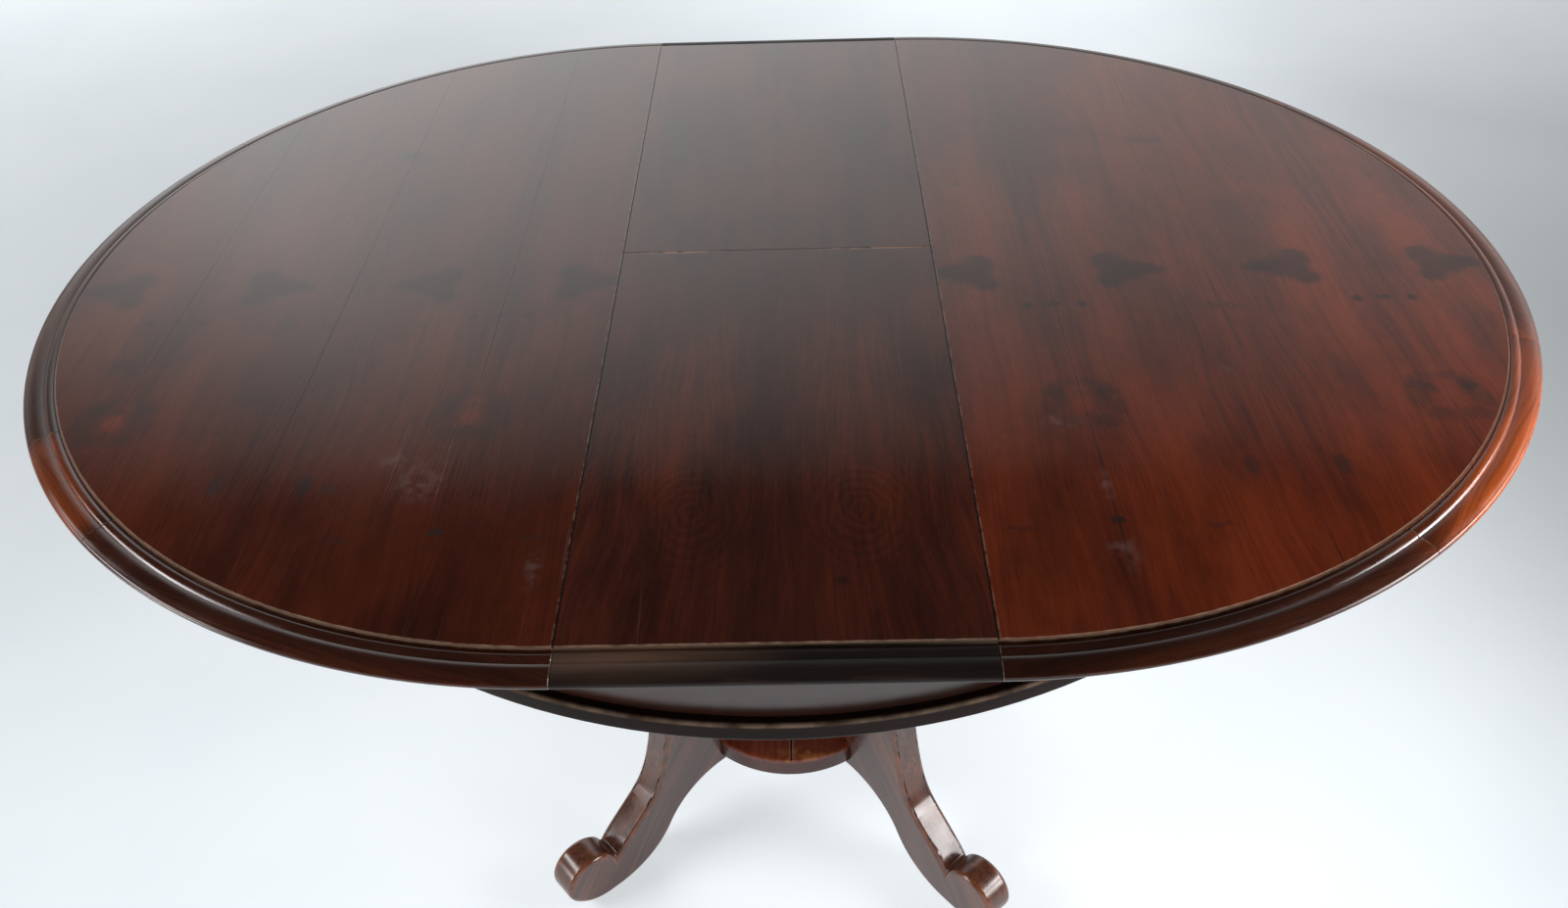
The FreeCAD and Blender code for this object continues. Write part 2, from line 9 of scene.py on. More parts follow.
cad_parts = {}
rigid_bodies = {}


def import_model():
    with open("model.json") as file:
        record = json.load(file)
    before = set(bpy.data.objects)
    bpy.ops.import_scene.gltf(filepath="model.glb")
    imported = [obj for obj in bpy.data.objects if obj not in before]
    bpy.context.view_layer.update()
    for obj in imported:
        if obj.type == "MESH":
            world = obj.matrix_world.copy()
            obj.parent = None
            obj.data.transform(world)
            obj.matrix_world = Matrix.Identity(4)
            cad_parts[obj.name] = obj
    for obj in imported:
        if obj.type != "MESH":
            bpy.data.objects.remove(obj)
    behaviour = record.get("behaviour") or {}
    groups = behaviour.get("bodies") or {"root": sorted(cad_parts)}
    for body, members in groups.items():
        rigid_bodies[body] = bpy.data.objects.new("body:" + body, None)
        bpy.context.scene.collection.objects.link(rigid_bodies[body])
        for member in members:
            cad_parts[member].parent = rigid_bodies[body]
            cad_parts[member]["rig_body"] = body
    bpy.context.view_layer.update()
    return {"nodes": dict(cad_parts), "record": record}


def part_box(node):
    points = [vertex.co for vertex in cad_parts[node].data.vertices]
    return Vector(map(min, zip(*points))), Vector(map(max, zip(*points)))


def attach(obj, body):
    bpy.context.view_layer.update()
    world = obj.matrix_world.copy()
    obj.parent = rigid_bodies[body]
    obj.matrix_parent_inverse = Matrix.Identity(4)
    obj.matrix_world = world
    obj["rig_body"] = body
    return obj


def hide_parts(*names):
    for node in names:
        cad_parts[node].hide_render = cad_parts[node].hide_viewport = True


bl_info = {
    "name": "Extending drum table",
    "version": (1, 0, 0),
    "blender": (4, 5, 0),
    "location": "View3D > Sidebar > Drum table",
    "description": "Dresses the packed frame of a drum table in polished, worn wood",
    "category": "Object",
}

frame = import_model()

# Lengths are in metres. A noise scale is in patches to the metre: at 55 a patch is about 18 mm long.
MM = 0.001
# Points nearer to each other than this count as one.
TOUCH = 1e-6
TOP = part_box("right_inner_board")[1].z
UNDER_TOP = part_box("right_inner_board")[0].z
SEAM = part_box("right_inner_board")[0].x
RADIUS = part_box("right_outer_board")[1].x - SEAM
FIRST_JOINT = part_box("right_inner_board")[1].x
SECOND_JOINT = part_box("right_second_board")[1].x
DRUM_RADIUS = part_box("frieze_front")[0].y * -1
DRUM_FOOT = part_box("frieze_front")[0].z
DRUM_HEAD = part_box("frieze_front")[1].z
SHELF_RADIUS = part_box("shelf_right_board")[1].x
SHELF_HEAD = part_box("shelf_right_board")[1].z

BOARDS = ("inner", "second", "third", "outer")
# Where each rim segment starts and ends, in degrees about the centre of its half.
RIM_ANGLES = {
    "left": (("back", 90, 149.94), ("side", 149.94, 210.6), ("patch", 210.6, 226.44), ("front", 226.44, 270)),
    "right": (("front", -90, -52.92), ("corner", -52.92, -18.9), ("side", -18.9, 34.92), ("back", 34.92, 90)),
}
# Quarters of the drum, how far the strip's joints lie from the frieze's, and the legs, in degrees about the
# drum's axis.
FRIEZE_STARTS = (("front", -135), ("right", -45), ("back", 45), ("left", 135))
STRIP_TURN = -29
LEG_ANGLES = (("front_left", -139), ("front_right", -49), ("back_right", 41), ("back_left", 131))
# How far the grain of the legs leans from upright, along the legs' sweep.
LEG_GRAIN_LEAN = math.radians(36)
# Sides of the top's round edge, short lengths in each curve of the rim's section, and degrees to a step round
# the rim.
TOP_SIDES = 360
NOSE_STEPS, FACE_STEPS, BEAD_STEPS = 12, 10, 8
RIM_STEP = 1.5
# Edges of the rim that turn by more than this many degrees stay sharp.
RIM_SHARP = 30
# Faces of a solid that meet within the first angle are merged, and edges that turn by more than the second
# are rounded.
FLAT_ANGLE, SHARP_ANGLE = math.radians(0.5), math.radians(30)


def linear(code):
    """An sRGB hex colour as linear red, green and blue."""
    parts = [int(code[i:i + 2], 16) / 255 for i in (1, 3, 5)]
    return tuple(c / 12.92 if c <= 0.04045 else ((c + 0.055) / 1.055) ** 2.4 for c in parts)


def size(name, text, value):
    """A length that a user may change."""
    return bpy.props.FloatProperty(name=name, description=text, default=value, min=0, unit="LENGTH", precision=4)


def colour(name, text, code):
    """A colour that a user may change."""
    return bpy.props.FloatVectorProperty(name=name, description=text, default=linear(code), size=3, min=0, max=1,
                                         subtype="COLOR")


def angle(name, text, value):
    """An angle that a user may change, given in degrees."""
    return bpy.props.FloatProperty(name=name, description=text, default=math.radians(value), subtype="ANGLE")


def power(name, text, value):
    """A lamp's power that a user may change."""
    return bpy.props.FloatProperty(name=name, description=text, default=value, min=0, unit="POWER")


class TableSizes(bpy.types.PropertyGroup):
    """Small sizes of the dressed pieces; the main ones come from the frame."""
    rim_reach: size("Rim reach", "How far the rim stands out from the flat top", 28 * MM)
    rim_depth: size("Rim depth", "From the table's top to the rim's underside", 24 * MM)
    toe_in: size("Toe", "How far the rim's underside stops short of its nose", 15 * MM)
    nose_in: size("Nose in", "How far the nose's foot and head lie inside its tip", 2.5 * MM)
    nose_foot: size("Nose foot", "The nose's foot below the table's top", 12.2 * MM)
    nose_head: size("Nose head", "The nose's head below the table's top", 6.4 * MM)
    face_swell: size("Face swell", "How far the rim's broad face swells", 1.4 * MM)
    bead_fall: size("Bead fall", "How far the bead's outer foot lies below its inner one", 1.5 * MM)
    bead_width: size("Bead width", "Width of the rim's bead", 8 * MM)
    bead_bulge: size("Bead bulge", "How far the bead swells", 1.3 * MM)
    bead_drop: size("Bead drop", "The bead's foot below the table's top", 3.2 * MM)
    quirk_lip: size("Quirk lip", "Width of the lip beside the quirk", 1.5 * MM)
    quirk_width: size("Quirk width", "Width of the quirk beside the bead", 1.5 * MM)
    quirk_depth: size("Quirk depth", "Depth of the quirk below the lip", 2.5 * MM)
    rim_step: size("Rim step", "The lip below the table's top", 1.5 * MM)
    joint_arris: size("Joint arris", "Softening along the joints of boards and rim", 0.15 * MM)
    rim_joint: size("Rim joint", "Softening at the ends of the rim's lengths", 0.5 * MM)
    strip_reach: size("Strip reach", "How far the drum's strip stands out", 9 * MM)
    strip_height: size("Strip height", "Height of the drum's strip", 16 * MM)
    strip_round: size("Strip round", "Rounding of the drum's strip", 2.5 * MM)
    frieze_thickness: size("Frieze thickness", "Thickness of the drum's wall", 22 * MM)
    leg_round: size("Leg round", "Rounding of the legs' arrises", 5.5 * MM)
    shelf_round: size("Shelf round", "Rounding of the shelf's arrises", 4 * MM)


class TableFinish(bpy.types.PropertyGroup):
    """Colours of the woods."""
    top_dark: colour("Top, dark", "Dark figure of the top", "#1f0d09")
    top_mid: colour("Top, middle", "Ground colour of the top", "#4f1e0e")
    top_light: colour("Top, light", "Light figure of the top", "#692c14")
    leaf_mid: colour("Leaf, middle", "Ground colour of the leaf", "#3c180e")
    rim_mid: colour("Rim, middle", "Ground colour of the rim", "#4a2213")
    rim_light: colour("Rim, light", "Light figure of the rim", "#7c4024")
    edge_mid: colour("Leaf edge, middle", "Ground colour of the leaf's dull moulding", "#180f0c")
    drum_mid: colour("Drum, middle", "Ground colour of the frieze", "#19100d")
    leg_mid: colour("Leg, middle", "Ground colour of the legs", "#38211a")
    leg_light: colour("Leg, light", "Worn arrises of the legs", "#7d4426")
    shelf_mid: colour("Shelf, middle", "Ground colour of the shelf", "#5a2414")
    slide_mid: colour("Slides, middle", "Ground colour of the bare slides", "#a37a50")
    wax: colour("Wax", "Pale old wax in the quirk and along worn edges", "#a08872")
    floor: colour("Floor", "The studio's pale floor", "#ccd1d4")


class TableStage(bpy.types.PropertyGroup):
    """Camera and light."""
    camera_place: bpy.props.FloatVectorProperty(name="Camera", description="Where the camera stands",
                                                default=(0.0205, -1.0796, 1.3806), size=3, subtype="TRANSLATION")
    camera_pitch: angle("Pitch", "How far the camera looks down", 39.422)
    camera_yaw: angle("Yaw", "How far the camera looks to the right", -1.057)
    camera_roll: angle("Roll", "How far the camera leans", -1.819)
    lens: bpy.props.FloatProperty(name="Lens", description="Focal length on a 36 mm wide frame", default=29.92,
                                  subtype="DISTANCE_CAMERA")
    left_power: power("Left light", "Power of the left softbox", 33)
    right_power: power("Right light", "Power of the right softbox", 28)
    fill_power: power("Fill light", "Power of the wide light in front", 45)
    left_low_power: power("Left low light", "Power of the low light at the left", 5.6)
    right_low_power: power("Right low light", "Power of the low light at the right", 28)


def add_node(tree, kind, inputs=(), out=0, **settings):
    """A shader node with its settings, each input linked or set. Returns the output asked for."""
    node = tree.nodes.new("ShaderNode" + kind)
    for name, value in settings.items():
        setattr(node, name, value)
    for name, value in inputs.items() if isinstance(inputs, dict) else enumerate(inputs):
        socket = node.inputs[name]
        if isinstance(value, bpy.types.NodeSocket):
            tree.links.new(value, socket)
        else:
            socket.default_value = (*value, 1) if socket.type == "RGBA" else value
    return node.outputs[out] if node.outputs else None


def new_material(name):
    """An empty node material, and the function that adds nodes to it."""
    material = bpy.data.materials.new(name)
    material.use_nodes = True
    material.node_tree.nodes.clear()
    return material, partial(add_node, material.node_tree)


def object_place(add):
    """The piece's own place in metres, whole and split into X, Y and Z."""
    place = add("TexCoord", out="Object")
    return place, add("SeparateXYZ", (place,)).node.outputs


def wood_grain(add, across, along, depth, dark, mid, light, seed, streak_mm=9.0, contrast=0.5, shift=0.0, curl=1.0):
    """Long-grained figure from three sockets in metres. Returns the colour and a height for the bump.
    The pores are drawn about three times as wide as real ones, so that they still show at this distance."""
    drift = add("CombineXYZ", (across, along, depth))
    drift = add("Mapping", {"Vector": drift, "Scale": (6, 2.5, 6), "Location": (seed, seed * 2, 0)})
    sway = add("TexNoise", {"Vector": drift, "Scale": 1.0, "Detail": 2.0, "Roughness": 0.5})
    sway = add("Math", (sway, 0.5), operation="SUBTRACT")
    bent = add("Math", (sway, 0.06, across), operation="MULTIPLY_ADD")
    grain = add("CombineXYZ", (bent, along, depth))
    layers = []
    # Width and length of each layer's streaks in millimetres, and how much detail they have.
    for width, length, detail in ((90, 520 * curl, 2.0), (streak_mm, 420 * curl, 4.0), (2.4, 190 * curl, 3.0),
                                  (0.9, 16, 1.0)):
        scale = (1 / (width * MM), 1 / (length * MM), 1 / (width * MM))
        drawn = add("Mapping", {"Vector": grain, "Scale": scale, "Location": (seed + width, seed, seed)})
        layers.append(add("TexNoise", {"Vector": drawn, "Scale": 1.0, "Detail": detail, "Roughness": 0.55}))
    broad, streak, fine, pore = layers
    tone = add("Math", (fine, 0.22, shift), operation="MULTIPLY_ADD")
    tone = add("Math", (streak, 0.36, tone), operation="MULTIPLY_ADD")
    tone = add("Math", (broad, 0.42, tone), operation="MULTIPLY_ADD")
    ramp = add("ValToRGB", (tone,))
    steps, middle, spread = ramp.node.color_ramp.elements, 0.47, 0.12 / contrast
    steps[0].position, steps[0].color = middle - 0.75 * spread, (*dark, 1)
    steps[1].position, steps[1].color = 0.5 + spread, (*light, 1)
    steps.new(middle).color = (*mid, 1)
    fleck = add("MapRange", (pore, 0.3, 0.46, 0.82, 1.0))
    line = add("MapRange", (fine, 0.28, 0.46, 0.88, 1.0))
    shade = add("Math", (fleck, line), operation="MULTIPLY")
    paint = add("VectorMath", {0: ramp, "Scale": shade}, operation="SCALE")
    return paint, add("Math", (pore, fine), operation="ADD")


def polish(add, paint, height, rough, bump_mm, specular=0.5):
    """A clear polish over the wood: the shader, its fine bump and the output."""
    bump = add("Bump", {"Height": height, "Strength": 1.0, "Distance": bump_mm * MM})
    shader = add("BsdfPrincipled", {"Base Color": paint, "Roughness": rough, "IOR": 1.5, "Normal": bump,
                                    "Specular IOR Level": specular})
    add("OutputMaterial", (shader,))


# Dark figure on the book-matched boards, in millimetres: place from the joint and along the board, half width,
# half length, and strength. Negative strength is a lighter, redder spot. Marks up to the small width stay crisp.
SMALL_MARK = 6
BOARD_MARKS = (
    (57, -33, 13, 14, 0.7), (57, -67, 13, 13, 0.7), (65, -50, 15, 24, 0.7), (76, -50, 16, 17, 0.7),
    (91, -50, 14, 9, 0.7), (103, -50, 8, 5, 0.6),
    (20, -236, 8, 13, 0.55), (25, -254, 8, 12, 0.4), (15, -271, 12, 8, 0.35), (9, -224, 9, 6, 0.3),
    (0, -250, 8, 9, -0.45), (0, -228, 7, 6, -0.3),
    (24, -106, 4, 5, 0.7), (2, -104, 4, 4, 0.6), (111, -331, 6, 11, 0.5), (3, -388, 2.5, 3.5, 0.8),
    (137, -112, 7, 6, 0.4), (136, 212, 14, 10, 0.4), (72, -395, 9, 3, 0.3), (64, 120, 5, 4, 0.35),
)
# Dark marks that are not mirrored: place on the top, half width, half length and strength.
LONE_MARKS = (
    (-400, 212, 13, 9, 0.55), (-392, 196, 26, 4, 0.3), (-195, 135, 34, 2, 0.25), (-200, 121, 30, 2, 0.2),
    (-434, -111, 8, 14, 0.35), (-433, -218, 10, 12, 0.4), (-564, -172, 12, 10, 0.35), (-541, -228, 10, 12, 0.35),
    (-357, -338, 6, 12, 0.45), (-337, -338, 6, 6, 0.5), (-480, -60, 22, 60, 0.22), (-330, -60, 18, 80, 0.2),
    (-250, 60, 15, 70, 0.18), (526, -237, 5, 7, 0.5), (557, -238, 5, 6, 0.5), (46, -442, 5, 5, 0.6),
)
# The swirl in each board of the leaf: place from the middle and along the board, half width and half length.
SWIRL = (62, -373, 46, 62)
# Its rings are 7 mm apart: one wave of the texture at scale 1 is 314 mm long.
SWIRL_SCALE = 314 / 7
# Whitish scuffs on the polish, at their places on the top.
SCUFFS = (
    (224, -273, 13, 7), (245, -350, 4, 15), (244, -420, 9, 16), (-293, -305, 11, 10), (-269, -329, 15, 20),
    (-170, -427, 5, 18), (368, -208, 5, 4),
)
# Bare, chipped wood along the seam between the two halves of the leaf.
CHIPS = ((-92, -1.5, 33, 2.0), (96, -1.2, 50, 1.7))


def spot(add, place, mark, soft=0.45):
    """How far inside an oval mark a place lies, from 0 outside to 1."""
    x, y, wide, long = (value * MM for value in mark[:4])
    inside = add("Mapping", {"Vector": place, "Scale": (1 / wide, 1 / long, 0),
                             "Location": (-x / wide, -y / long, 0)})
    reach = add("VectorMath", (inside,), "Value", operation="LENGTH")
    return add("MapRange", (reach, 1 + soft, 1 - soft, 0.0, 1.0), interpolation_type="SMOOTHSTEP")


def patches(add, place, scale, detail, *reach, rough=0.5):
    """A share that varies in patches: noise, spread from its first two levels to the other two, or from 0 to 1."""
    noise = add("TexNoise", {"Vector": place, "Scale": scale, "Detail": detail, "Roughness": rough})
    return add("MapRange", (noise, *reach))


def strongest(add, shares):
    """The greatest of several shares at each place."""
    most = 0.0
    for share in shares:
        most = add("Math", (share, most), operation="MAXIMUM")
    return most


def hairlines(add, place):
    """Fine scratches in a few directions and specks of dust, as one mask."""
    shares = []
    for turn, shift in ((0.25, 0.0), (-0.5, 3.0), (1.3, 7.0)):
        drawn = add("Mapping", {"Vector": place, "Rotation": (0, 0, turn), "Location": (shift, shift, 0),
                                "Scale": (520, 6, 1)})
        shares.append(patches(add, drawn, 1.0, 0.0, 0.82, 0.9))
    dust = add("TexVoronoi", {"Vector": place, "Scale": 45.0}, "Distance")
    return strongest(add, [*shares, add("MapRange", (dust, 0.035, 0.02))])


def ragged(add, place, scale, detail, amount):
    """A place moved about by noise, so that marks drawn on it get uneven edges."""
    noise = add("TexNoise", {"Vector": place, "Scale": scale, "Detail": detail}, "Color")
    noise = add("VectorMath", (noise, (0.5, 0.5, 0.5)), operation="SUBTRACT")
    return add("VectorMath", (noise, amount, place), operation="MULTIPLY_ADD")


def board_marks(add, paint, folded, figure):
    """Dark growth marks and red spots, mirrored at the joints. Returns the colour and how dark the marks are."""
    nearly = ragged(add, folded, 70.0, 2.0, (0.003, 0.003, 0))
    shares = {"dark": [], "red": []}
    for mark in BOARD_MARKS:
        inside = spot(add, figure if mark[2] > SMALL_MARK else nearly, mark)
        inside = add("Math", (inside, abs(mark[4])), operation="MULTIPLY")
        shares["dark" if mark[4] > 0 else "red"].append(inside)
    red, dark = strongest(add, shares["red"]), strongest(add, shares["dark"])
    paint = add("Mix", {0: red, 6: paint, 7: linear("#6b2a12")}, 2, data_type="RGBA")
    return add("Mix", {0: dark, 6: paint, 7: linear("#140a08")}, 2, data_type="RGBA"), dark


def joint_gaps(add, paint, place, across):
    """Fine dark gaps at the joints of the boards, broken along their length."""
    from_joint = add("Math", (across, (SECOND_JOINT - FIRST_JOINT) / 2), operation="PINGPONG")
    gap = add("MapRange", (from_joint, 0.9 * MM, 0.3 * MM, 0.0, 0.7))
    drawn = add("Mapping", {"Vector": place, "Scale": (4, 9, 1)})
    gap = add("Math", (gap, patches(add, drawn, 1.0, 3.0, 0.45, 0.6)), operation="MULTIPLY")
    return add("Mix", {0: gap, 6: paint, 7: linear("#0d0706")}, 2, data_type="RGBA")


def leaf_figure(add, paint, place, folded, figure, nibble):
    """The swirl in the leaf's boards, and bare chips along the seam between its halves."""
    x, y, squeeze = SWIRL[0] * MM, SWIRL[1] * MM, 0.7
    curl = add("Mapping", {"Vector": figure, "Location": (-x, -squeeze * y, 0), "Scale": (1, squeeze, 0)})
    curl = add("TexWave", {"Vector": curl, "Scale": SWIRL_SCALE, "Distortion": 5.0, "Detail": 3.0,
                           "Detail Scale": 0.6}, "Fac", wave_type="RINGS", rings_direction="SPHERICAL")
    curl = add("Math", (curl, spot(add, folded, SWIRL, 0.9)), operation="MULTIPLY")
    curl = add("Math", (curl, 0.3), operation="MULTIPLY")
    paint = add("Mix", {0: curl, 6: paint, 7: linear("#120806")}, 2, data_type="RGBA")
    bare = strongest(add, [spot(add, place, chip, 0.5) for chip in CHIPS])
    bare = add("Math", (bare, add("MapRange", (nibble, 0.4, 0.5, 0.0, 0.75))), operation="MULTIPLY")
    return add("Mix", {0: bare, 6: paint, 7: linear("#8a5f42")}, 2, data_type="RGBA")


def seam_lines(add, paint, side, nibble, wax, leaf):
    """A dark line at the leaf's seams, with broken pale wear beside it on the top's own boards."""
    from_seam = add("Math", (side, SEAM), operation="SUBTRACT")
    from_seam = add("Math", (from_seam,), operation="ABSOLUTE")
    if not leaf:
        pale = add("MapRange", (from_seam, 2.0 * MM, 1.3 * MM, 0.0, 0.3))
        pale = add("Math", (pale, add("MapRange", (nibble, 0.42, 0.56))), operation="MULTIPLY")
        paint = add("Mix", {0: pale, 6: paint, 7: wax}, 2, data_type="RGBA")
    dark = add("MapRange", (from_seam, 1.1 * MM, 0.6 * MM, 0.0, 0.85))
    return add("Mix", {0: dark, 6: paint, 7: linear("#0d0706")}, 2, data_type="RGBA")


def top_material(name, finish, ground, leaf):
    """French-polished red-brown hardwood: a deep, clear gloss over book-matched boards whose figure is
    mirrored at each joint, with dark growth marks, worn pale edges and a few whitish scuffs."""
    material, add = new_material(name)
    place, (x, y, z) = object_place(add)
    side = add("Math", (x,), operation="ABSOLUTE")
    if leaf:
        across = side
        shift = add("MapRange", (across, 0.0, 40 * MM, -0.06, 0.0))
        seed, streak_mm, contrast, curl = 7.3, 13, 0.36, 0.4
    else:
        from_first = add("Math", (side, FIRST_JOINT), operation="SUBTRACT")
        across = add("Math", (from_first, SECOND_JOINT - FIRST_JOINT), operation="PINGPONG")
        outer = add("MapRange", (across, 95 * MM, 140 * MM, 0.0, -0.025), interpolation_type="SMOOTHSTEP")
        inner = add("MapRange", (across, 0.0, 35 * MM, -0.02, 0.02), interpolation_type="SMOOTHSTEP")
        shift = add("Math", (outer, inner), operation="ADD")
        seed, streak_mm, contrast, curl = 2.1, 9, 0.4, 1.0
    paint, height = wood_grain(add, across, y, z, finish.top_dark, ground, finish.top_light, seed, streak_mm,
                               contrast, shift, curl)
    # Smoky patches in the wood.
    drawn = add("Mapping", {"Vector": place, "Scale": (17, 6, 1)})
    smoke = patches(add, drawn, 1.0, 4.0, 0.36, 0.6, 0.6, 1.08, rough=0.6)
    paint = add("VectorMath", {0: paint, "Scale": smoke}, operation="SCALE")
    folded = add("CombineXYZ", (across, y))
    figure = ragged(add, folded, 70.0, 2.0, (0.012, 0.016, 0))
    sunk = 0.0
    if not leaf:
        # The right half is more faded and redder than the left one.
        faded = add("MapRange", (x, -0.2, 0.6, 0.7, 1.6))
        paint = add("VectorMath", {0: paint, "Scale": faded}, operation="SCALE")
        red = add("MapRange", (x, 0.0, 0.4))
        paint = add("Mix", {0: red, 6: paint, 7: (1.06, 0.9, 0.66)}, 2, data_type="RGBA",
                    blend_type="MULTIPLY")
        paint, sunk = board_marks(add, paint, folded, figure)
        paint = joint_gaps(add, paint, place, across)
    loose = ragged(add, place, 55.0, 3.0, (0.01, 0.014, 0))
    for mark in LONE_MARKS:
        if (abs(mark[0]) * MM < SEAM) == leaf:
            inside = add("Math", (spot(add, loose, mark, 0.6), mark[4]), operation="MULTIPLY")
            sunk = strongest(add, (inside, sunk))
            paint = add("Mix", {0: inside, 6: paint, 7: linear("#110908")}, 2, data_type="RGBA")
    # Whitish scuffs, then the edge rubbed pale beside the rim.
    worn = strongest(add, [spot(add, place, scuff, 0.8) for scuff in SCUFFS])
    worn = add("Math", (worn, patches(add, place, 90.0, 4.0, 0.42, 0.62, 0.0, 0.13)), operation="MULTIPLY")
    paint = add("Mix", {0: worn, 6: paint, 7: linear("#8a7c78")}, 2, data_type="RGBA")
    nibble = add("TexNoise", {"Vector": place, "Scale": 120.0, "Detail": 3.0})
    reach = add("Math", (nibble, 1.2 * MM, rim_reach(add, place)), operation="MULTIPLY_ADD")
    rubbed = add("MapRange", (reach, RADIUS + 0.1 * MM, RADIUS + 0.8 * MM, 0.0, 0.5))
    paint = add("Mix", {0: rubbed, 6: paint, 7: finish.wax}, 2, data_type="RGBA")
    if leaf:
        paint = leaf_figure(add, paint, place, folded, figure, nibble)
    paint = seam_lines(add, paint, side, nibble, finish.wax, leaf)
    hair = add("Math", (hairlines(add, place), 0.07), operation="MULTIPLY")
    paint = add("Mix", {0: hair, 6: paint, 7: linear("#9a8a84")}, 2, data_type="RGBA")
    # The gloss is cloudy with handling, and duller on scuffs, rubbed edges and sunken marks.
    rough = patches(add, place, 14.0, 3.0, 0.3, 0.7, 0.08, 0.115)
    rough = add("Math", (worn, 0.5, rough), operation="MULTIPLY_ADD")
    rough = add("Math", (rubbed, rough), operation="ADD")
    rough = add("Math", (sunk, 0.12, rough), operation="MULTIPLY_ADD")
    polish(add, paint, height, rough, 0.05)
    return material


def along_piece(add):
    """The piece's place, its own grain_turn attribute, and the place swung back by that turn."""
    place, _ = object_place(add)
    turn = add("Attribute", out="Fac", attribute_name="grain_turn")
    back = add("Math", (turn, -1.0), operation="MULTIPLY")
    return place, turn, add("VectorRotate", {"Vector": place, "Angle": back}, rotation_type="Z_AXIS")


def turned_wood(name, dark, mid, light, seed, streak_mm=9.0):
    """Wood whose grain runs along each piece. Returns the material, the function that adds nodes to it,
    the place, the turn, and the grain's colour and height."""
    material, add = new_material(name)
    place, turn, swung = along_piece(add)
    x, y, z = add("SeparateXYZ", (swung,)).node.outputs
    return material, add, place, turn, *wood_grain(add, x, y, z, dark, mid, light, seed, streak_mm)


def rim_material(name, finish):
    """The same hardwood, cut across in short curved lengths, each a little different: redder and brighter towards
    the right, with pale wax left on the lip of the quirk and at the joints."""
    material, add, place, turn, paint, height = turned_wood(name, finish.top_dark, finish.rim_mid, finish.rim_light,
                                                            4.4, 22)
    x, _, z = add("SeparateXYZ", (place,)).node.outputs
    own = add("TexWhiteNoise", {"W": turn}, "Value", noise_dimensions="1D")
    own = add("MapRange", {0: own, 3: 0.75, 4: 1.4})
    faded = add("MapRange", (x, 0.3, 0.62, 0.4, 1.1))
    faded = add("Math", (faded, own), operation="MULTIPLY")
    paint = add("VectorMath", {0: paint, "Scale": faded}, operation="SCALE")
    # Two lengths drawn lighter and more orange, the left one less than the right.
    left = add("Math", (spot(add, place, (-549, -318, 58, 68), 0.2), 0.35), operation="MULTIPLY")
    lighter_orange_lengths = strongest(add, (left, spot(add, place, (560, -300, 120, 150), 0.4)))
    warm = add("VectorMath", (paint, (5.0, 4.0, 1.9)), operation="MULTIPLY")
    paint = add("Mix", {0: lighter_orange_lengths, 6: paint, 7: warm}, 2, data_type="RGBA")
    paint = rub_edges(add, place, paint, finish.wax, 0.85)
    nibble = add("TexNoise", {"Vector": place, "Scale": 130.0, "Detail": 3.0})
    reach = add("Math", (nibble, 1.2 * MM, rim_reach(add, place)), operation="MULTIPLY_ADD")
    lip = add("MapRange", (reach, RADIUS + 2.3 * MM, RADIUS + 1.7 * MM))
    high = add("MapRange", (z, TOP - 2.0 * MM, TOP - 1.7 * MM, 0.08, 0.45))
    lip = add("Math", (lip, high), operation="MULTIPLY")
    paint = add("Mix", {0: lip, 6: paint, 7: finish.wax}, 2, data_type="RGBA")
    polish(add, paint, height, patches(add, place, 30.0, 4.0, 0.3, 0.7, 0.13, 0.24), 0.01)
    return material


def rim_reach(add, place):
    """How far a place lies from the line between the centres of the two halves."""
    x, y, _ = add("SeparateXYZ", (place,)).node.outputs
    side = add("Math", (x,), operation="ABSOLUTE")
    past = add("Math", (side, SEAM), operation="SUBTRACT")
    past = add("Math", (past, 0.0), operation="MAXIMUM")
    return add("VectorMath", (add("CombineXYZ", (past, y)),), "Value", operation="LENGTH")


def slides_material(name, finish):
    """Bare planed beech: pale, dry and without shine, as slides are left so that they run."""
    material, add, _, _, paint, height = turned_wood(name, finish.shelf_mid, finish.slide_mid, linear("#c09a70"),
                                                     3.7)
    polish(add, paint, height, 0.55, 0.1)
    return material


def leaf_edge_material(name, finish):
    """The leaf's own moulding, which has lost its polish: dull, nearly black with handling, brown where rubbed."""
    material, add, place, _, paint, height = turned_wood(name, linear("#0b0706"), finish.edge_mid, linear("#2c1a12"),
                                                         5.2, 14)
    drawn = add("Mapping", {"Vector": place, "Scale": (6, 45, 80), "Location": (0.35, 0, 0)})
    blotch = add("TexNoise", {"Vector": drawn, "Scale": 1.0, "Detail": 5.0, "Roughness": 0.7})
    # One patch is rubbed browner than the rest.
    patch = spot(add, place, (-100, -506, 70, 14), 0.8)
    amount = add("Math", (patch, 0.5, 0.14), operation="MULTIPLY_ADD")
    rubbed = add("Math", (add("MapRange", (blotch, 0.5, 0.68)), amount), operation="MULTIPLY")
    patch = add("Math", (patch, blotch), operation="MULTIPLY")
    patch = add("Math", (patch, 0.85), operation="MULTIPLY")
    rubbed = strongest(add, (rubbed, patch))
    paint = add("Mix", {0: rubbed, 6: paint, 7: linear("#664a38")}, 2, data_type="RGBA")
    reach = add("Math", (blotch, 1.5 * MM, rim_reach(add, place)), operation="MULTIPLY_ADD")
    lip = add("MapRange", (reach, RADIUS + 2.3 * MM, RADIUS + 1.7 * MM, 0.0, 0.35))
    paint = add("Mix", {0: lip, 6: paint, 7: finish.wax}, 2, data_type="RGBA")
    rough = add("MapRange", (blotch, 0.3, 0.7, 0.38, 0.6))
    polish(add, paint, add("Math", (height, blotch), operation="ADD"), rough, 0.12, 0.3)
    return material


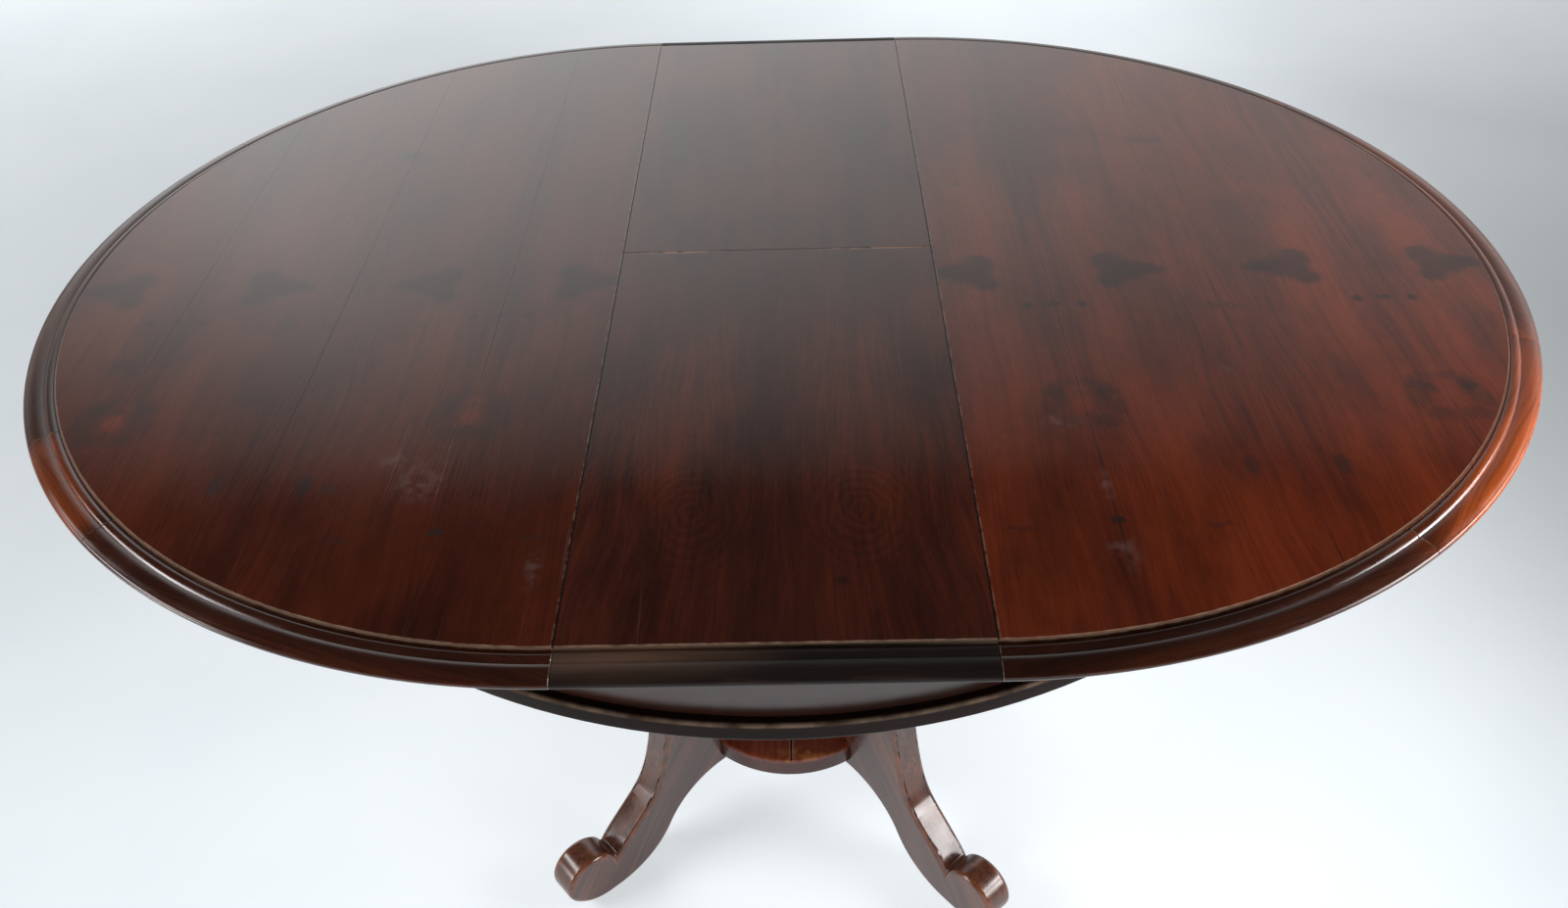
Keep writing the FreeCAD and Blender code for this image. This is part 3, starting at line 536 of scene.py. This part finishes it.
def rub_edges(add, place, paint, light, amount):
    """Lighter wood where a piece's worn faces lie, broken up so that the wear looks uneven."""
    worn = add("Attribute", out="Fac", attribute_name="wear")
    broken = patches(add, place, 55.0, 4.0, 0.35, 0.65, 0.0, amount, rough=0.6)
    share = add("Math", (worn, broken), operation="MULTIPLY")
    return add("Mix", {0: share, 6: paint, 7: light}, 2, data_type="RGBA")


def leg_material(name, finish):
    """Polished hardwood boards, handled and knocked: long slanting grain on the flat sides, orange-brown where the
    polish has gone from the arrises."""
    material, add = new_material(name)
    place, _, swung = along_piece(add)
    leant = add("VectorRotate", {"Vector": swung, "Angle": LEG_GRAIN_LEAN}, rotation_type="Y_AXIS")
    x, y, z = add("SeparateXYZ", (leant,)).node.outputs
    paint, height = wood_grain(add, x, z, y, finish.top_dark, finish.leg_mid, linear("#663a25"), 6.6, 10.0, 0.68)
    paint = rub_edges(add, place, paint, finish.leg_light, 0.4)
    polish(add, paint, height, patches(add, place, 25.0, 4.0, 0.3, 0.7, 0.14, 0.28), 0.02, 0.75)
    return material


def shelf_material(name, finish):
    """The same hardwood, flat and less polished, worn yellowish along the front edge, with painted shade darkening
    its round edge below the top face.
    """
    material, add = new_material(name)
    place, (x, y, z) = object_place(add)
    paint, height = wood_grain(add, x, y, z, finish.top_mid, finish.shelf_mid, finish.rim_light, 8.8, 7.0, 0.7)
    # Painted shade: the round edge is drawn darker below the top face.
    side = add("MapRange", (z, SHELF_HEAD - 9 * MM, SHELF_HEAD - 2 * MM, 0.4, 1.0))
    paint = add("VectorMath", {0: paint, "Scale": side}, operation="SCALE")
    rubbed = patches(add, place, 75.0, 5.0, 0.42, 0.6, 0.0, 0.6)
    for share in (spot(add, place, (22, -124, 48, 12), 0.6),
                  add("MapRange", (z, SHELF_HEAD - 6 * MM, SHELF_HEAD - 2 * MM))):
        rubbed = add("Math", (rubbed, share), operation="MULTIPLY")
    paint = add("Mix", {0: rubbed, 6: paint, 7: linear("#8a5a30")}, 2, data_type="RGBA")
    polish(add, paint, height, 0.22, 0.03)
    return material


def drum_material(name, ground, light, shine):
    """Dark polished hardwood bent round the drum, with its grain running level, painted light at its foot, and a
    pale line on the strip that is partly rubbed wear and partly a painted highlight.
    """
    material, add = new_material(name)
    place, (x, y, z) = object_place(add)
    along = add("Math", (add("Math", (y, x), operation="ARCTAN2"), DRUM_RADIUS), operation="MULTIPLY")
    reach = add("VectorMath", (add("CombineXYZ", (x, y)),), "Value", operation="LENGTH")
    # Painted light: the strip and the lowest part of the frieze are drawn lighter, against the shade where they
    # meet.
    low = add("MapRange", (z, DRUM_FOOT + 15 * MM, DRUM_FOOT + 45 * MM, 0.06, 0.0))
    paint, height = wood_grain(add, z, along, reach, linear("#0d0706"), ground, light, 9.1, shift=low)
    # A pale line along the strip's upper arris, partly rubbed wear and partly a painted highlight.
    line = patches(add, place, 60.0, 4.0, 0.35, 0.65, 0.15, 0.6)
    for share in (add("MapRange", (z, DRUM_FOOT + 13.2 * MM, DRUM_FOOT + 15 * MM)),
                  add("MapRange", (reach, DRUM_RADIUS + 5.2 * MM, DRUM_RADIUS + 7.2 * MM))):
        line = add("Math", (line, share), operation="MULTIPLY")
    paint = add("Mix", {0: line, 6: paint, 7: linear("#86705f")}, 2, data_type="RGBA")
    polish(add, paint, height, patches(add, place, 18.0, 4.0, 0.3, 0.7, 0.24, 0.36), 0.02, shine)
    return material


def steel_material(name):
    """Dull steel wood screws: turned heads gone grey, with a faint brown bloom."""
    material, add = new_material(name)
    place, _ = object_place(add)
    bloom = add("TexNoise", {"Vector": place, "Scale": 420.0, "Detail": 4.0})
    paint = add("Mix", {0: bloom, 6: linear("#8d8880"), 7: linear("#5e4c3e")}, 2, data_type="RGBA")
    rough = add("MapRange", {0: bloom, 3: 0.35, 4: 0.6})
    shader = add("BsdfPrincipled", {"Base Color": paint, "Roughness": rough, "Metallic": 1.0})
    add("OutputMaterial", (shader,))
    return material


def line_to(bm, vert, place):
    """Draw a straight edge from a vertex."""
    new = bmesh.ops.extrude_vert_indiv(bm, verts=[vert])["verts"][0]
    new.co = place
    return new


def arc_to(bm, vert, place, sag, steps):
    """Draw an arc in the XZ plane from a vertex, bulging by its sag to the right of the way it goes."""
    start, end = vert.co.copy(), Vector(place)
    chord = end - start
    half = chord.length / 2
    radius = (half ** 2 + sag ** 2) / (2 * abs(sag))
    right = Vector((chord.z, 0, -chord.x)).normalized() * math.copysign(1, sag)
    centre = start + chord / 2 - right * (radius - abs(sag))
    sweep = 2 * math.asin(min(1.0, half / radius))
    spun = bmesh.ops.spin(bm, geom=[vert], cent=centre, axis=(0, -math.copysign(1, sag), 0), angle=sweep,
                          steps=steps, use_duplicate=False)
    last = next(item for item in spun["geom_last"] if isinstance(item, bmesh.types.BMVert))
    last.co = end
    return last


def rim_profile(bm, sizes):
    """The rim's section as one face in the XZ plane, outwards along X."""
    reach = RADIUS + sizes.rim_reach
    bottom = TOP - sizes.rim_depth
    nose = reach - sizes.nose_in
    bead_inner = RADIUS + sizes.quirk_lip + sizes.quirk_width
    bead_foot = TOP - sizes.bead_drop
    quirk_floor = TOP - sizes.rim_step - sizes.quirk_depth
    first = bm.verts.new((RADIUS, 0, bottom))
    vert = line_to(bm, first, (reach - sizes.toe_in, 0, bottom))
    vert = line_to(bm, vert, (nose, 0, TOP - sizes.nose_foot))
    vert = arc_to(bm, vert, (nose, 0, TOP - sizes.nose_head), sizes.nose_in, NOSE_STEPS)
    vert = arc_to(bm, vert, (bead_inner + sizes.bead_width, 0, bead_foot - sizes.bead_fall), sizes.face_swell,
                  FACE_STEPS)
    vert = arc_to(bm, vert, (bead_inner, 0, bead_foot), sizes.bead_bulge, BEAD_STEPS)
    for out, height in ((bead_inner, quirk_floor), (RADIUS + sizes.quirk_lip, quirk_floor),
                        (RADIUS + sizes.quirk_lip, TOP - sizes.rim_step), (RADIUS, TOP - sizes.rim_step)):
        vert = line_to(bm, vert, (out, 0, height))
    bm.edges.new((vert, first))
    return bmesh.ops.contextual_create(bm, geom=bm.edges[:])["faces"][0]


def close_ends(bm):
    """Fill the open ends and turn every face outwards."""
    bmesh.ops.remove_doubles(bm, verts=bm.verts[:], dist=TOUCH)
    rest = [edge for edge in bm.edges if edge.is_boundary]
    if rest:
        bmesh.ops.holes_fill(bm, edges=rest, sides=0)
    bmesh.ops.recalc_face_normals(bm, faces=bm.faces[:])


def pull(bm, faces, way, keep=False):
    """Extrude faces along a way and close the piece."""
    raised = bmesh.ops.extrude_face_region(bm, geom=faces, use_keep_orig=keep)["geom"]
    bmesh.ops.translate(bm, verts=[item for item in raised if isinstance(item, bmesh.types.BMVert)], vec=way)
    close_ends(bm)


def soften(bm, edges, width, segments=2):
    """Round the given edges and mark the new faces as worn."""
    worn = bm.faces.layers.float.get("wear") or bm.faces.layers.float.new("wear")
    for face in bmesh.ops.bevel(bm, geom=edges, affect="EDGES", offset=width, offset_type="OFFSET",
                                segments=segments, profile=0.5, material=-1)["faces"]:
        face[worn] = 1.0


def sweep_round(bm, face, centre, start, end, step_angle=2.0):
    """Sweep a section round an upright axis, between two angles in degrees."""
    geom = [face, *face.edges, *face.verts]
    axis = (centre, 0, 0)
    bmesh.ops.translate(bm, verts=face.verts[:], vec=axis)
    bmesh.ops.rotate(bm, verts=face.verts[:], cent=axis, matrix=Matrix.Rotation(math.radians(start), 3, "Z"))
    bmesh.ops.spin(bm, geom=geom, cent=axis, axis=(0, 0, 1), angle=math.radians(end - start),
                   steps=max(2, math.ceil((end - start) / step_angle)), use_duplicate=False)
    close_ends(bm)


def finish_piece(name, bm, material, node, grain_turn=0.0, sharp_angle=40):
    """Make the mesh an object that stands for a CAD node and rides on its body."""
    mesh = bpy.data.meshes.new(name)
    bm.to_mesh(mesh)
    bm.free()
    mesh.shade_smooth()
    mesh.set_sharp_from_angle(angle=math.radians(sharp_angle))
    if "wear" not in mesh.attributes:
        mesh.attributes.new("wear", "FLOAT", "FACE")
    turn = mesh.attributes.new("grain_turn", "FLOAT", "POINT")
    turn.data.foreach_set("value", [grain_turn] * len(mesh.vertices))
    mesh.materials.append(material)
    piece = bpy.data.objects.new(name, mesh)
    bpy.context.scene.collection.objects.link(piece)
    flat = piece.modifiers.new("flat_faces_stay_flat", "WEIGHTED_NORMAL")
    flat.keep_sharp = True
    flat.weight = 100
    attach(piece, frame["nodes"][node]["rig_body"])
    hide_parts(node)
    return piece


def material_for(scene, name):
    """The finish of that name, made once."""
    finish = scene.table_finish
    makers = {
        "polished_hardwood_top": lambda: top_material(name, finish, finish.top_mid, False),
        "polished_hardwood_leaf": lambda: top_material(name, finish, finish.leaf_mid, True),
        "polished_hardwood_rim": lambda: rim_material(name, finish),
        "worn_hardwood_leaf_edge": lambda: leaf_edge_material(name, finish),
        "polished_hardwood_drum": lambda: drum_material(name, finish.drum_mid, linear("#35180f"), 0.75),
        "rubbed_hardwood_strip": lambda: drum_material(name, linear("#0e0806"), linear("#1d0f0a"), 0.06),
        "worn_hardwood_legs": lambda: leg_material(name, finish),
        "worn_hardwood_shelf": lambda: shelf_material(name, finish),
        "bare_beech_slides": lambda: slides_material(name, finish),
        "dull_steel_screws": lambda: steel_material(name),
    }
    return bpy.data.materials.get(name) or makers[name]()


class TABLE_OT_boards(bpy.types.Operator):
    """Builds the edge-joined boards of both halves of the top"""
    bl_idname = "table.boards"
    bl_label = "Top boards"

    def execute(self, context):
        sizes = context.scene.table_sizes
        wood = material_for(context.scene, "polished_hardwood_top")
        for side, sign in (("left", -1), ("right", 1)):
            for board in BOARDS:
                node = "%s_%s_board" % (side, board)
                low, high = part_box(node)
                bm = bmesh.new()
                bmesh.ops.create_circle(bm, cap_ends=True, segments=TOP_SIDES, radius=RADIUS)
                bmesh.ops.translate(bm, verts=bm.verts[:], vec=(sign * SEAM, 0, UNDER_TOP))
                for edge, way in ((low.x, -1), (high.x, 1)):
                    bmesh.ops.bisect_plane(bm, geom=bm.verts[:] + bm.edges[:] + bm.faces[:], dist=TOUCH,
                                           plane_co=(edge, 0, 0), plane_no=(way, 0, 0), clear_outer=True)
                pull(bm, bm.faces[:], (0, 0, TOP - UNDER_TOP))
                rims = [edge for edge in bm.edges if abs(edge.verts[0].co.z - edge.verts[1].co.z) < TOUCH]
                soften(bm, rims, sizes.joint_arris)
                finish_piece(node + "_wood", bm, wood, node)
        return {"FINISHED"}


class TABLE_OT_rim(bpy.types.Operator):
    """Builds the moulded rim segments of both halves"""
    bl_idname = "table.rim"
    bl_label = "Rim"

    def execute(self, context):
        sizes = context.scene.table_sizes
        wood = material_for(context.scene, "polished_hardwood_rim")
        for side, sign in (("left", -1), ("right", 1)):
            for name, start, end in RIM_ANGLES[side]:
                bm = bmesh.new()
                sweep_round(bm, rim_profile(bm, sizes), sign * SEAM, start, end, RIM_STEP)
                # The end caps are the only faces with more than a few corners.
                caps = [face for face in bm.faces if len(face.verts) > 8]
                soften(bm, list({edge for face in caps for edge in face.edges}), sizes.rim_joint, 1)
                node = "%s_rim_%s" % (side, name)
                finish_piece(node + "_wood", bm, wood, node, math.radians((start + end) / 2), RIM_SHARP)
        return {"FINISHED"}


class TABLE_OT_leaf(bpy.types.Operator):
    """Builds the boards and end mouldings of the loose leaf"""
    bl_idname = "table.leaf"
    bl_label = "Leaf"

    def execute(self, context):
        sizes = context.scene.table_sizes
        wood = material_for(context.scene, "polished_hardwood_leaf")
        dull = material_for(context.scene, "worn_hardwood_leaf_edge")
        for end, sign in (("front", -1), ("back", 1)):
            for side in ("left", "right"):
                node = "%s_leaf_%s_board" % (end, side)
                low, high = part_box(node)
                bm = bmesh.new()
                bmesh.ops.create_cube(bm, size=1)
                bmesh.ops.scale(bm, verts=bm.verts[:], vec=high - low)
                bmesh.ops.translate(bm, verts=bm.verts[:], vec=(high + low) / 2)
                soften(bm, bm.edges[:], sizes.joint_arris)
                finish_piece(node + "_wood", bm, wood, node)
            node = end + "_leaf_moulding"
            low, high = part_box(node)
            bm = bmesh.new()
            face = rim_profile(bm, sizes)
            bmesh.ops.rotate(bm, verts=bm.verts[:], matrix=Matrix.Rotation(sign * math.pi / 2, 3, "Z"))
            for vert in bm.verts:
                vert.co.x = low.x
            pull(bm, [face], (high.x - low.x, 0, 0), True)
            finish_piece(node + "_wood", bm, dull, node, math.pi / 2, RIM_SHARP)
        return {"FINISHED"}


class TABLE_OT_drum(bpy.types.Operator):
    """Builds the frieze quarters and the strip round the drum's foot"""
    bl_idname = "table.drum"
    bl_label = "Drum"

    def execute(self, context):
        sizes = context.scene.table_sizes
        wood = material_for(context.scene, "polished_hardwood_drum")
        dull = material_for(context.scene, "rubbed_hardwood_strip")
        for name, start in FRIEZE_STARTS:
            bm = bmesh.new()
            corners = self.corners(bm, DRUM_RADIUS - sizes.frieze_thickness, DRUM_RADIUS, DRUM_HEAD)
            sweep_round(bm, bm.faces.new(corners), 0, start, start + 90)
            finish_piece("frieze_%s_wood" % name, bm, wood, "frieze_" + name)
            bm = bmesh.new()
            corners = self.corners(bm, DRUM_RADIUS, DRUM_RADIUS + sizes.strip_reach, DRUM_FOOT + sizes.strip_height)
            bm.faces.new(corners)
            sharp = [vert for vert in corners if vert.co.x > DRUM_RADIUS + TOUCH]
            bmesh.ops.bevel(bm, geom=sharp, affect="VERTICES", offset=sizes.strip_round, offset_type="OFFSET",
                            segments=4, profile=0.5, material=-1)
            sweep_round(bm, bm.faces[:][0], 0, start + STRIP_TURN, start + STRIP_TURN + 90)
            finish_piece("drum_bead_%s_wood" % name, bm, dull, "drum_bead_" + name)
        return {"FINISHED"}

    def corners(self, bm, inner, outer, head):
        """The corners of an upright section that stands on the drum's foot."""
        return [bm.verts.new(place) for place in ((inner, 0, DRUM_FOOT), (outer, 0, DRUM_FOOT), (outer, 0, head),
                                                  (inner, 0, head))]


def softened_copy(node, width, segments, keep=None):
    """A CAD solid's mesh, merged into clean faces, with its sharp edges rounded, or those of them that keep says."""
    bm = bmesh.new()
    bm.from_mesh(frame["nodes"][node].data)
    bmesh.ops.remove_doubles(bm, verts=bm.verts[:], dist=TOUCH)
    bmesh.ops.dissolve_limit(bm, angle_limit=FLAT_ANGLE, use_dissolve_boundaries=False, verts=bm.verts[:],
                             edges=bm.edges[:])
    sharp = [edge for edge in bm.edges if len(edge.link_faces) == 2 and edge.calc_face_angle(0) > SHARP_ANGLE]
    if keep:
        sharp = [edge for edge in sharp if keep(*(vert.co for vert in edge.verts))]
    soften(bm, sharp, width, segments)
    bmesh.ops.recalc_face_normals(bm, faces=bm.faces[:])
    return bm


class TABLE_OT_legs(bpy.types.Operator):
    """Builds the scroll legs with rounded, worn arrises"""
    bl_idname = "table.legs"
    bl_label = "Legs"

    def execute(self, context):
        sizes = context.scene.table_sizes
        wood = material_for(context.scene, "worn_hardwood_legs")
        for name, turn in LEG_ANGLES:
            node = "leg_" + name
            finish_piece(node + "_wood", softened_copy(node, sizes.leg_round, 3), wood, node,
                         math.radians(turn))
        return {"FINISHED"}


class TABLE_OT_shelf(bpy.types.Operator):
    """Builds the two boards of the low round shelf"""
    bl_idname = "table.shelf"
    bl_label = "Shelf"

    def execute(self, context):
        sizes = context.scene.table_sizes
        wood = material_for(context.scene, "worn_hardwood_shelf")
        for side in ("left", "right"):
            node = "shelf_%s_board" % side
            bm = softened_copy(node, sizes.shelf_round, 4, keep=self.at_rim)
            finish_piece(node + "_wood", bm, wood, node)
        return {"FINISHED"}

    def at_rim(self, start, end):
        """Whether an edge runs level along the shelf's round edge."""
        return min(start.xy.length, end.xy.length) > SHELF_RADIUS - 2 * MM and abs(start.z - end.z) < 0.1 * MM


class TABLE_OT_slides(bpy.types.Operator):
    """Gives the hidden slides, bearers, blocks and screws their finish"""
    bl_idname = "table.slides"
    bl_label = "Slides and screws"

    def execute(self, context):
        slots = {row["node"]: row["material_slot"] for row in frame["record"]["subparts"]}
        for name, part in frame["nodes"].items():
            if slots[name] not in ("slide_wood", "screw_steel"):
                continue
            key = "bare_beech_slides" if slots[name] == "slide_wood" else "dull_steel_screws"
            part.data.materials.clear()
            part.data.materials.append(material_for(context.scene, key))
        return {"FINISHED"}


# Starts or ends of the names of the mouldings, the drum, the legs and the shelf.
SHAPED_WOOD = ("left_rim", "right_rim", "moulding_wood", "frieze", "drum_bead", "leg_", "shelf")
FLOOR_WIDTH = 24.0
# How far behind the table the backdrop stands, and its height.
WALL_PLACE, WALL_HEAD = 4.0, 4.42
PALE_ROOM = "#e6eaec"
LIGHT_AIM = Vector((0, -0.1, 0.45))
# Softboxes: name, which power, place, width and height, and whether the floor is screened off from it.
SOFTBOXES = (
    ("left_softbox", "left_power", (-1.9, -0.45, 1.5), 1.2, 0.8, False),
    ("right_softbox", "right_power", (2.1, -0.25, 1.45), 1.4, 0.8, False),
    ("front_fill", "fill_power", (0.3, -3.0, 0.85), 1.6, 1.6, True),
    ("left_low_light", "left_low_power", (-2.1, -0.9, 0.9), 1.0, 1.0, True),
    ("right_low_light", "right_low_power", (2.1, -0.9, 0.9), 1.0, 1.0, True),
)
# Cloths that shine in the polish: name, strength, place, width and height.
CLOTHS = (
    ("left_reflector", 18.0, (-1.9, -0.45, 1.5), 1.9, 0.5),
    ("right_reflector", 30.0, (2.1, -0.35, 1.45), 2.1, 0.55),
    ("left_low_reflector", 13.0, (-2.1, -0.9, 0.5), 1.2, 0.85),
    ("right_low_reflector", 15.0, (2.0, -0.85, 0.85), 1.3, 0.85),
    ("front_reflector", 1.9, (0.3, -3.0, 0.8), 5.0, 1.3),
)


class TABLE_OT_stage(bpy.types.Operator):
    """Sets up the pale floor, the lit backdrop, the softboxes and the camera"""
    bl_idname = "table.stage"
    bl_label = "Stage"

    def execute(self, context):
        scene = context.scene
        stage = scene.table_stage
        upright = Matrix.Translation((0, WALL_PLACE, WALL_HEAD / 2)) @ Matrix.Rotation(math.pi / 2, 4, "X")
        floor = self.put("studio_floor", self.floor_paper_painted_light(scene.table_finish), FLOOR_WIDTH, FLOOR_WIDTH)
        wall = self.put("studio_backdrop", self.lit_paper(), FLOOR_WIDTH, WALL_HEAD, upright)
        for name, power_name, place, wide, tall, screened in SOFTBOXES:
            box = self.softbox(name, getattr(stage, power_name), place, wide, tall)
            if screened:
                box.light_linking.receiver_collection = self.screened("off_the_floor", ("_wood",))
        for name, level, place, wide, tall in CLOTHS:
            self.reflector(name, level, place, wide, tall)
        self.surroundings(scene)
        camera = bpy.data.objects.new("camera", bpy.data.cameras.new("camera"))
        scene.collection.objects.link(camera)
        camera.data.sensor_width = 36
        camera.data.lens = stage.lens
        camera.matrix_world = (Matrix.Translation(stage.camera_place)
                               @ Matrix.Rotation(-stage.camera_yaw, 4, "Z")
                               @ Matrix.Rotation(math.pi / 2 - stage.camera_pitch, 4, "X")
                               @ Matrix.Rotation(stage.camera_roll, 4, "Z"))
        scene.camera = camera
        scene.view_settings.view_transform = "Standard"
        return {"FINISHED"}

    def put(self, name, material, wide, tall, matrix=Matrix()):
        """A flat sheet of that width and height, its mesh turned and moved by a matrix."""
        bm = bmesh.new()
        bmesh.ops.create_grid(bm, x_segments=1, y_segments=1, size=0.5)
        bmesh.ops.scale(bm, verts=bm.verts[:], vec=(wide, tall, 1))
        bmesh.ops.transform(bm, matrix=matrix, verts=bm.verts[:])
        mesh = bpy.data.meshes.new(name)
        bm.to_mesh(mesh)
        bm.free()
        mesh.materials.append(material)
        sheet = bpy.data.objects.new(name, mesh)
        bpy.context.scene.collection.objects.link(sheet)
        return sheet

    def floor_paper_painted_light(self, finish):
        """Matt white background paper that glows with painted light, most in the middle by the table, where the glow
        fills the table's shadows as a painted pool of light; a round painted shadow darkens it to the right.
        From below it is clear, so that the underside of the table can be seen."""
        material, add = new_material("matt_paper_floor")
        place, (x, y, _) = object_place(add)
        mottle = add("TexNoise", {"Vector": place, "Scale": 3.0, "Detail": 3.0})
        shade = add("Mix", {0: mottle, 6: finish.floor, 7: linear("#c3c9cd")}, 2, data_type="RGBA")
        # Middle of each round patch, the distances where it starts and ends, and its strength at both.
        # The first two patches are painted pools of light in the floor's glow; the third is a painted shadow on its
        # colour.
        rounds = (((0.0, -0.25, 0.0), 0.3, 1.5, 0.86, 0.36), ((0.8, 2.7, 0.0), 0.3, 2.0, 0.45, 0.0),
                  ((1.75, 0.5, 0.0), 0.2, 1.1, 0.76, 1.0))
        shares = []
        for middle, *reach in rounds:
            away = add("VectorMath", (place, middle), "Value", operation="DISTANCE")
            shares.append(add("MapRange", (away, *reach), interpolation_type="SMOOTHSTEP"))
        near, behind, shadow = shares
        # Painted light: the glowing pool by the table fades to the right, and leans towards it before that.
        for reach in ((0.8, 1.5, 1.0, 0.35), (-0.4, 0.5, 0.97, 1.35)):
            across = add("MapRange", (x, *reach), interpolation_type="SMOOTHSTEP")
            near = add("Math", (near, across), operation="MULTIPLY")
        # More painted light: the floor glows more far from the table, behind it and in front of it.
        away = add("VectorMath", (place, (0.6, 0.2, 0.0)), "Value", operation="DISTANCE")
        far = add("Math", (add("MapRange", (away, 1.9, 4.6, 0.0, 0.9)), behind), operation="ADD")
        front = add("MapRange", (y, -0.2, -1.2, 0.0, 0.75), interpolation_type="SMOOTHSTEP")
        painted_light_glow = add("Math", (near, strongest(add, (far, front))), operation="ADD")
        # Painted shadow: the paper's colour is darker in the round patch to the right.
        shade = add("VectorMath", {0: shade, "Scale": shadow}, operation="SCALE")
        shader = add("BsdfPrincipled", {"Base Color": shade, "Emission Color": shade, "Emission Strength": painted_light_glow,
                                        "Roughness": 0.9, "Specular IOR Level": 0.2})
        below = add("NewGeometry", out="Backfacing")
        add("OutputMaterial", (add("MixShader", (below, shader, add("BsdfTransparent"))),))
        return material

    def lit_paper(self):
        """White paper lit from below: bright near the floor, fading upwards and to the right."""
        material, add = new_material("lit_paper_backdrop")
        _, (x, _, z) = object_place(add)
        fade = add("ValToRGB", (add("Math", (z, WALL_HEAD), operation="DIVIDE"),))
        steps = fade.node.color_ramp.elements
        steps[0].position, steps[0].color = 0.4, (1, 1, 1, 1)
        steps[1].position, steps[1].color = 1.0, (0.11, 0.113, 0.116, 1)
        for place, level in ((0.55, 0.82), (0.69, 0.68), (0.767, 0.55), (0.845, 0.4), (0.916, 0.27), (0.967, 0.17)):
            steps.new(place).color = (level, level, level, 1)
        lean = add("MapRange", (x, -2.2, 1.7, 2.56, 1.12))
        for share in (add("MapRange", (x, -4.5, -2.3, 0.25, 1.0)),
                      add("MapRange", (z, 0.5, 1.9, 0.3, 1.0))):
            lean = add("Math", (lean, share), operation="MULTIPLY")
        seen = add("LightPath", out="Is Camera Ray")
        shade = add("Mix", {0: seen, 6: fade, 7: linear(PALE_ROOM)}, 2, data_type="RGBA")
        strength = add("MapRange", {0: seen, 3: lean, 4: 1.0})
        add("OutputMaterial", (add("Emission", {"Color": shade, "Strength": strength}),))
        return material

    def aim(self, thing, place):
        """Put a light or cloth at its place and turn it to the table."""
        thing.location = place
        thing.rotation_euler = (Vector(place) - LIGHT_AIM).to_track_quat("Z", "Y").to_euler()
        thing.visible_camera = False

    def softbox(self, name, watts, place, wide, tall):
        """A rectangular lamp that lights the table but doesn't show in the polish."""
        lamp = bpy.data.lights.new(name, "AREA")
        lamp.energy = watts
        lamp.shape = "RECTANGLE"
        lamp.size, lamp.size_y = wide, tall
        box = bpy.data.objects.new(name, lamp)
        bpy.context.scene.collection.objects.link(box)
        self.aim(box, place)
        box.visible_glossy = False
        return box

    def reflector(self, name, level, place, wide, tall):
        """A cloth that only shines in the polish, brightest in the middle and fading to nothing at its edges."""
        material, add = new_material("lit_cloth_" + name)
        here, _ = object_place(add)
        inside = add("VectorMath", (here, (2 / wide, 2 / tall, 0)), operation="MULTIPLY")
        reach = add("VectorMath", (inside,), "Value", operation="LENGTH")
        shine = add("MapRange", (reach, 0.1, 1.0, level, 0.0), interpolation_type="SMOOTHSTEP")
        add("OutputMaterial", (add("Emission", {"Strength": shine}),))
        cloth = self.put(name, material, wide, tall)
        self.aim(cloth, place)
        cloth.visible_diffuse = cloth.visible_shadow = False
        cloth.light_linking.receiver_collection = self.screened("off_the_top", SHAPED_WOOD)

    def screened(self, name, endings):
        """The pieces that a light or cloth shines on. The rest is screened off from it, as with studio flags."""
        group = bpy.data.collections.get(name)
        if not group:
            group = bpy.data.collections.new(name)
            for piece in bpy.context.scene.objects:
                if piece.name.endswith(endings) or piece.name.startswith(endings):
                    group.objects.link(piece)
        return group

    def surroundings(self, scene):
        """Dim studio all round, which the camera itself sees as pale."""
        scene.world = bpy.data.worlds.new("studio")
        scene.world.use_nodes = True
        scene.world.node_tree.nodes.clear()
        add = partial(add_node, scene.world.node_tree)
        seen = add("LightPath", out="Is Camera Ray")
        shade = add("Mix", {0: seen, 6: linear("#3a3d40"), 7: linear(PALE_ROOM)}, 2, data_type="RGBA")
        add("OutputWorld", (add("Background", {"Color": shade, "Strength": 1.0}),))


OPERATORS = (TABLE_OT_boards, TABLE_OT_rim, TABLE_OT_leaf, TABLE_OT_drum, TABLE_OT_legs, TABLE_OT_shelf,
             TABLE_OT_slides, TABLE_OT_stage)


class TABLE_PT_panel(bpy.types.Panel):
    """Lists the pieces of the table"""
    bl_idname = "TABLE_PT_panel"
    bl_label = "Drum table"
    bl_space_type = "VIEW_3D"
    bl_region_type = "UI"
    bl_category = "Drum table"

    def draw(self, context):
        for operator in OPERATORS:
            self.layout.operator(operator.bl_idname)
        for group in (context.scene.table_sizes, context.scene.table_finish, context.scene.table_stage):
            for name in group.__annotations__:
                self.layout.prop(group, name)


CLASSES = (TableSizes, TableFinish, TableStage, *OPERATORS, TABLE_PT_panel)


def register():
    for item in CLASSES:
        bpy.utils.register_class(item)
    bpy.types.Scene.table_sizes = bpy.props.PointerProperty(type=TableSizes)
    bpy.types.Scene.table_finish = bpy.props.PointerProperty(type=TableFinish)
    bpy.types.Scene.table_stage = bpy.props.PointerProperty(type=TableStage)


def unregister():
    del bpy.types.Scene.table_sizes, bpy.types.Scene.table_finish, bpy.types.Scene.table_stage
    for item in reversed(CLASSES):
        bpy.utils.unregister_class(item)


def main():
    register()
    bpy.ops.table.boards()
    bpy.ops.table.rim()
    bpy.ops.table.leaf()
    bpy.ops.table.drum()
    bpy.ops.table.legs()
    bpy.ops.table.shelf()
    bpy.ops.table.slides()
    bpy.ops.table.stage()


if __name__ == "__main__":
    main()
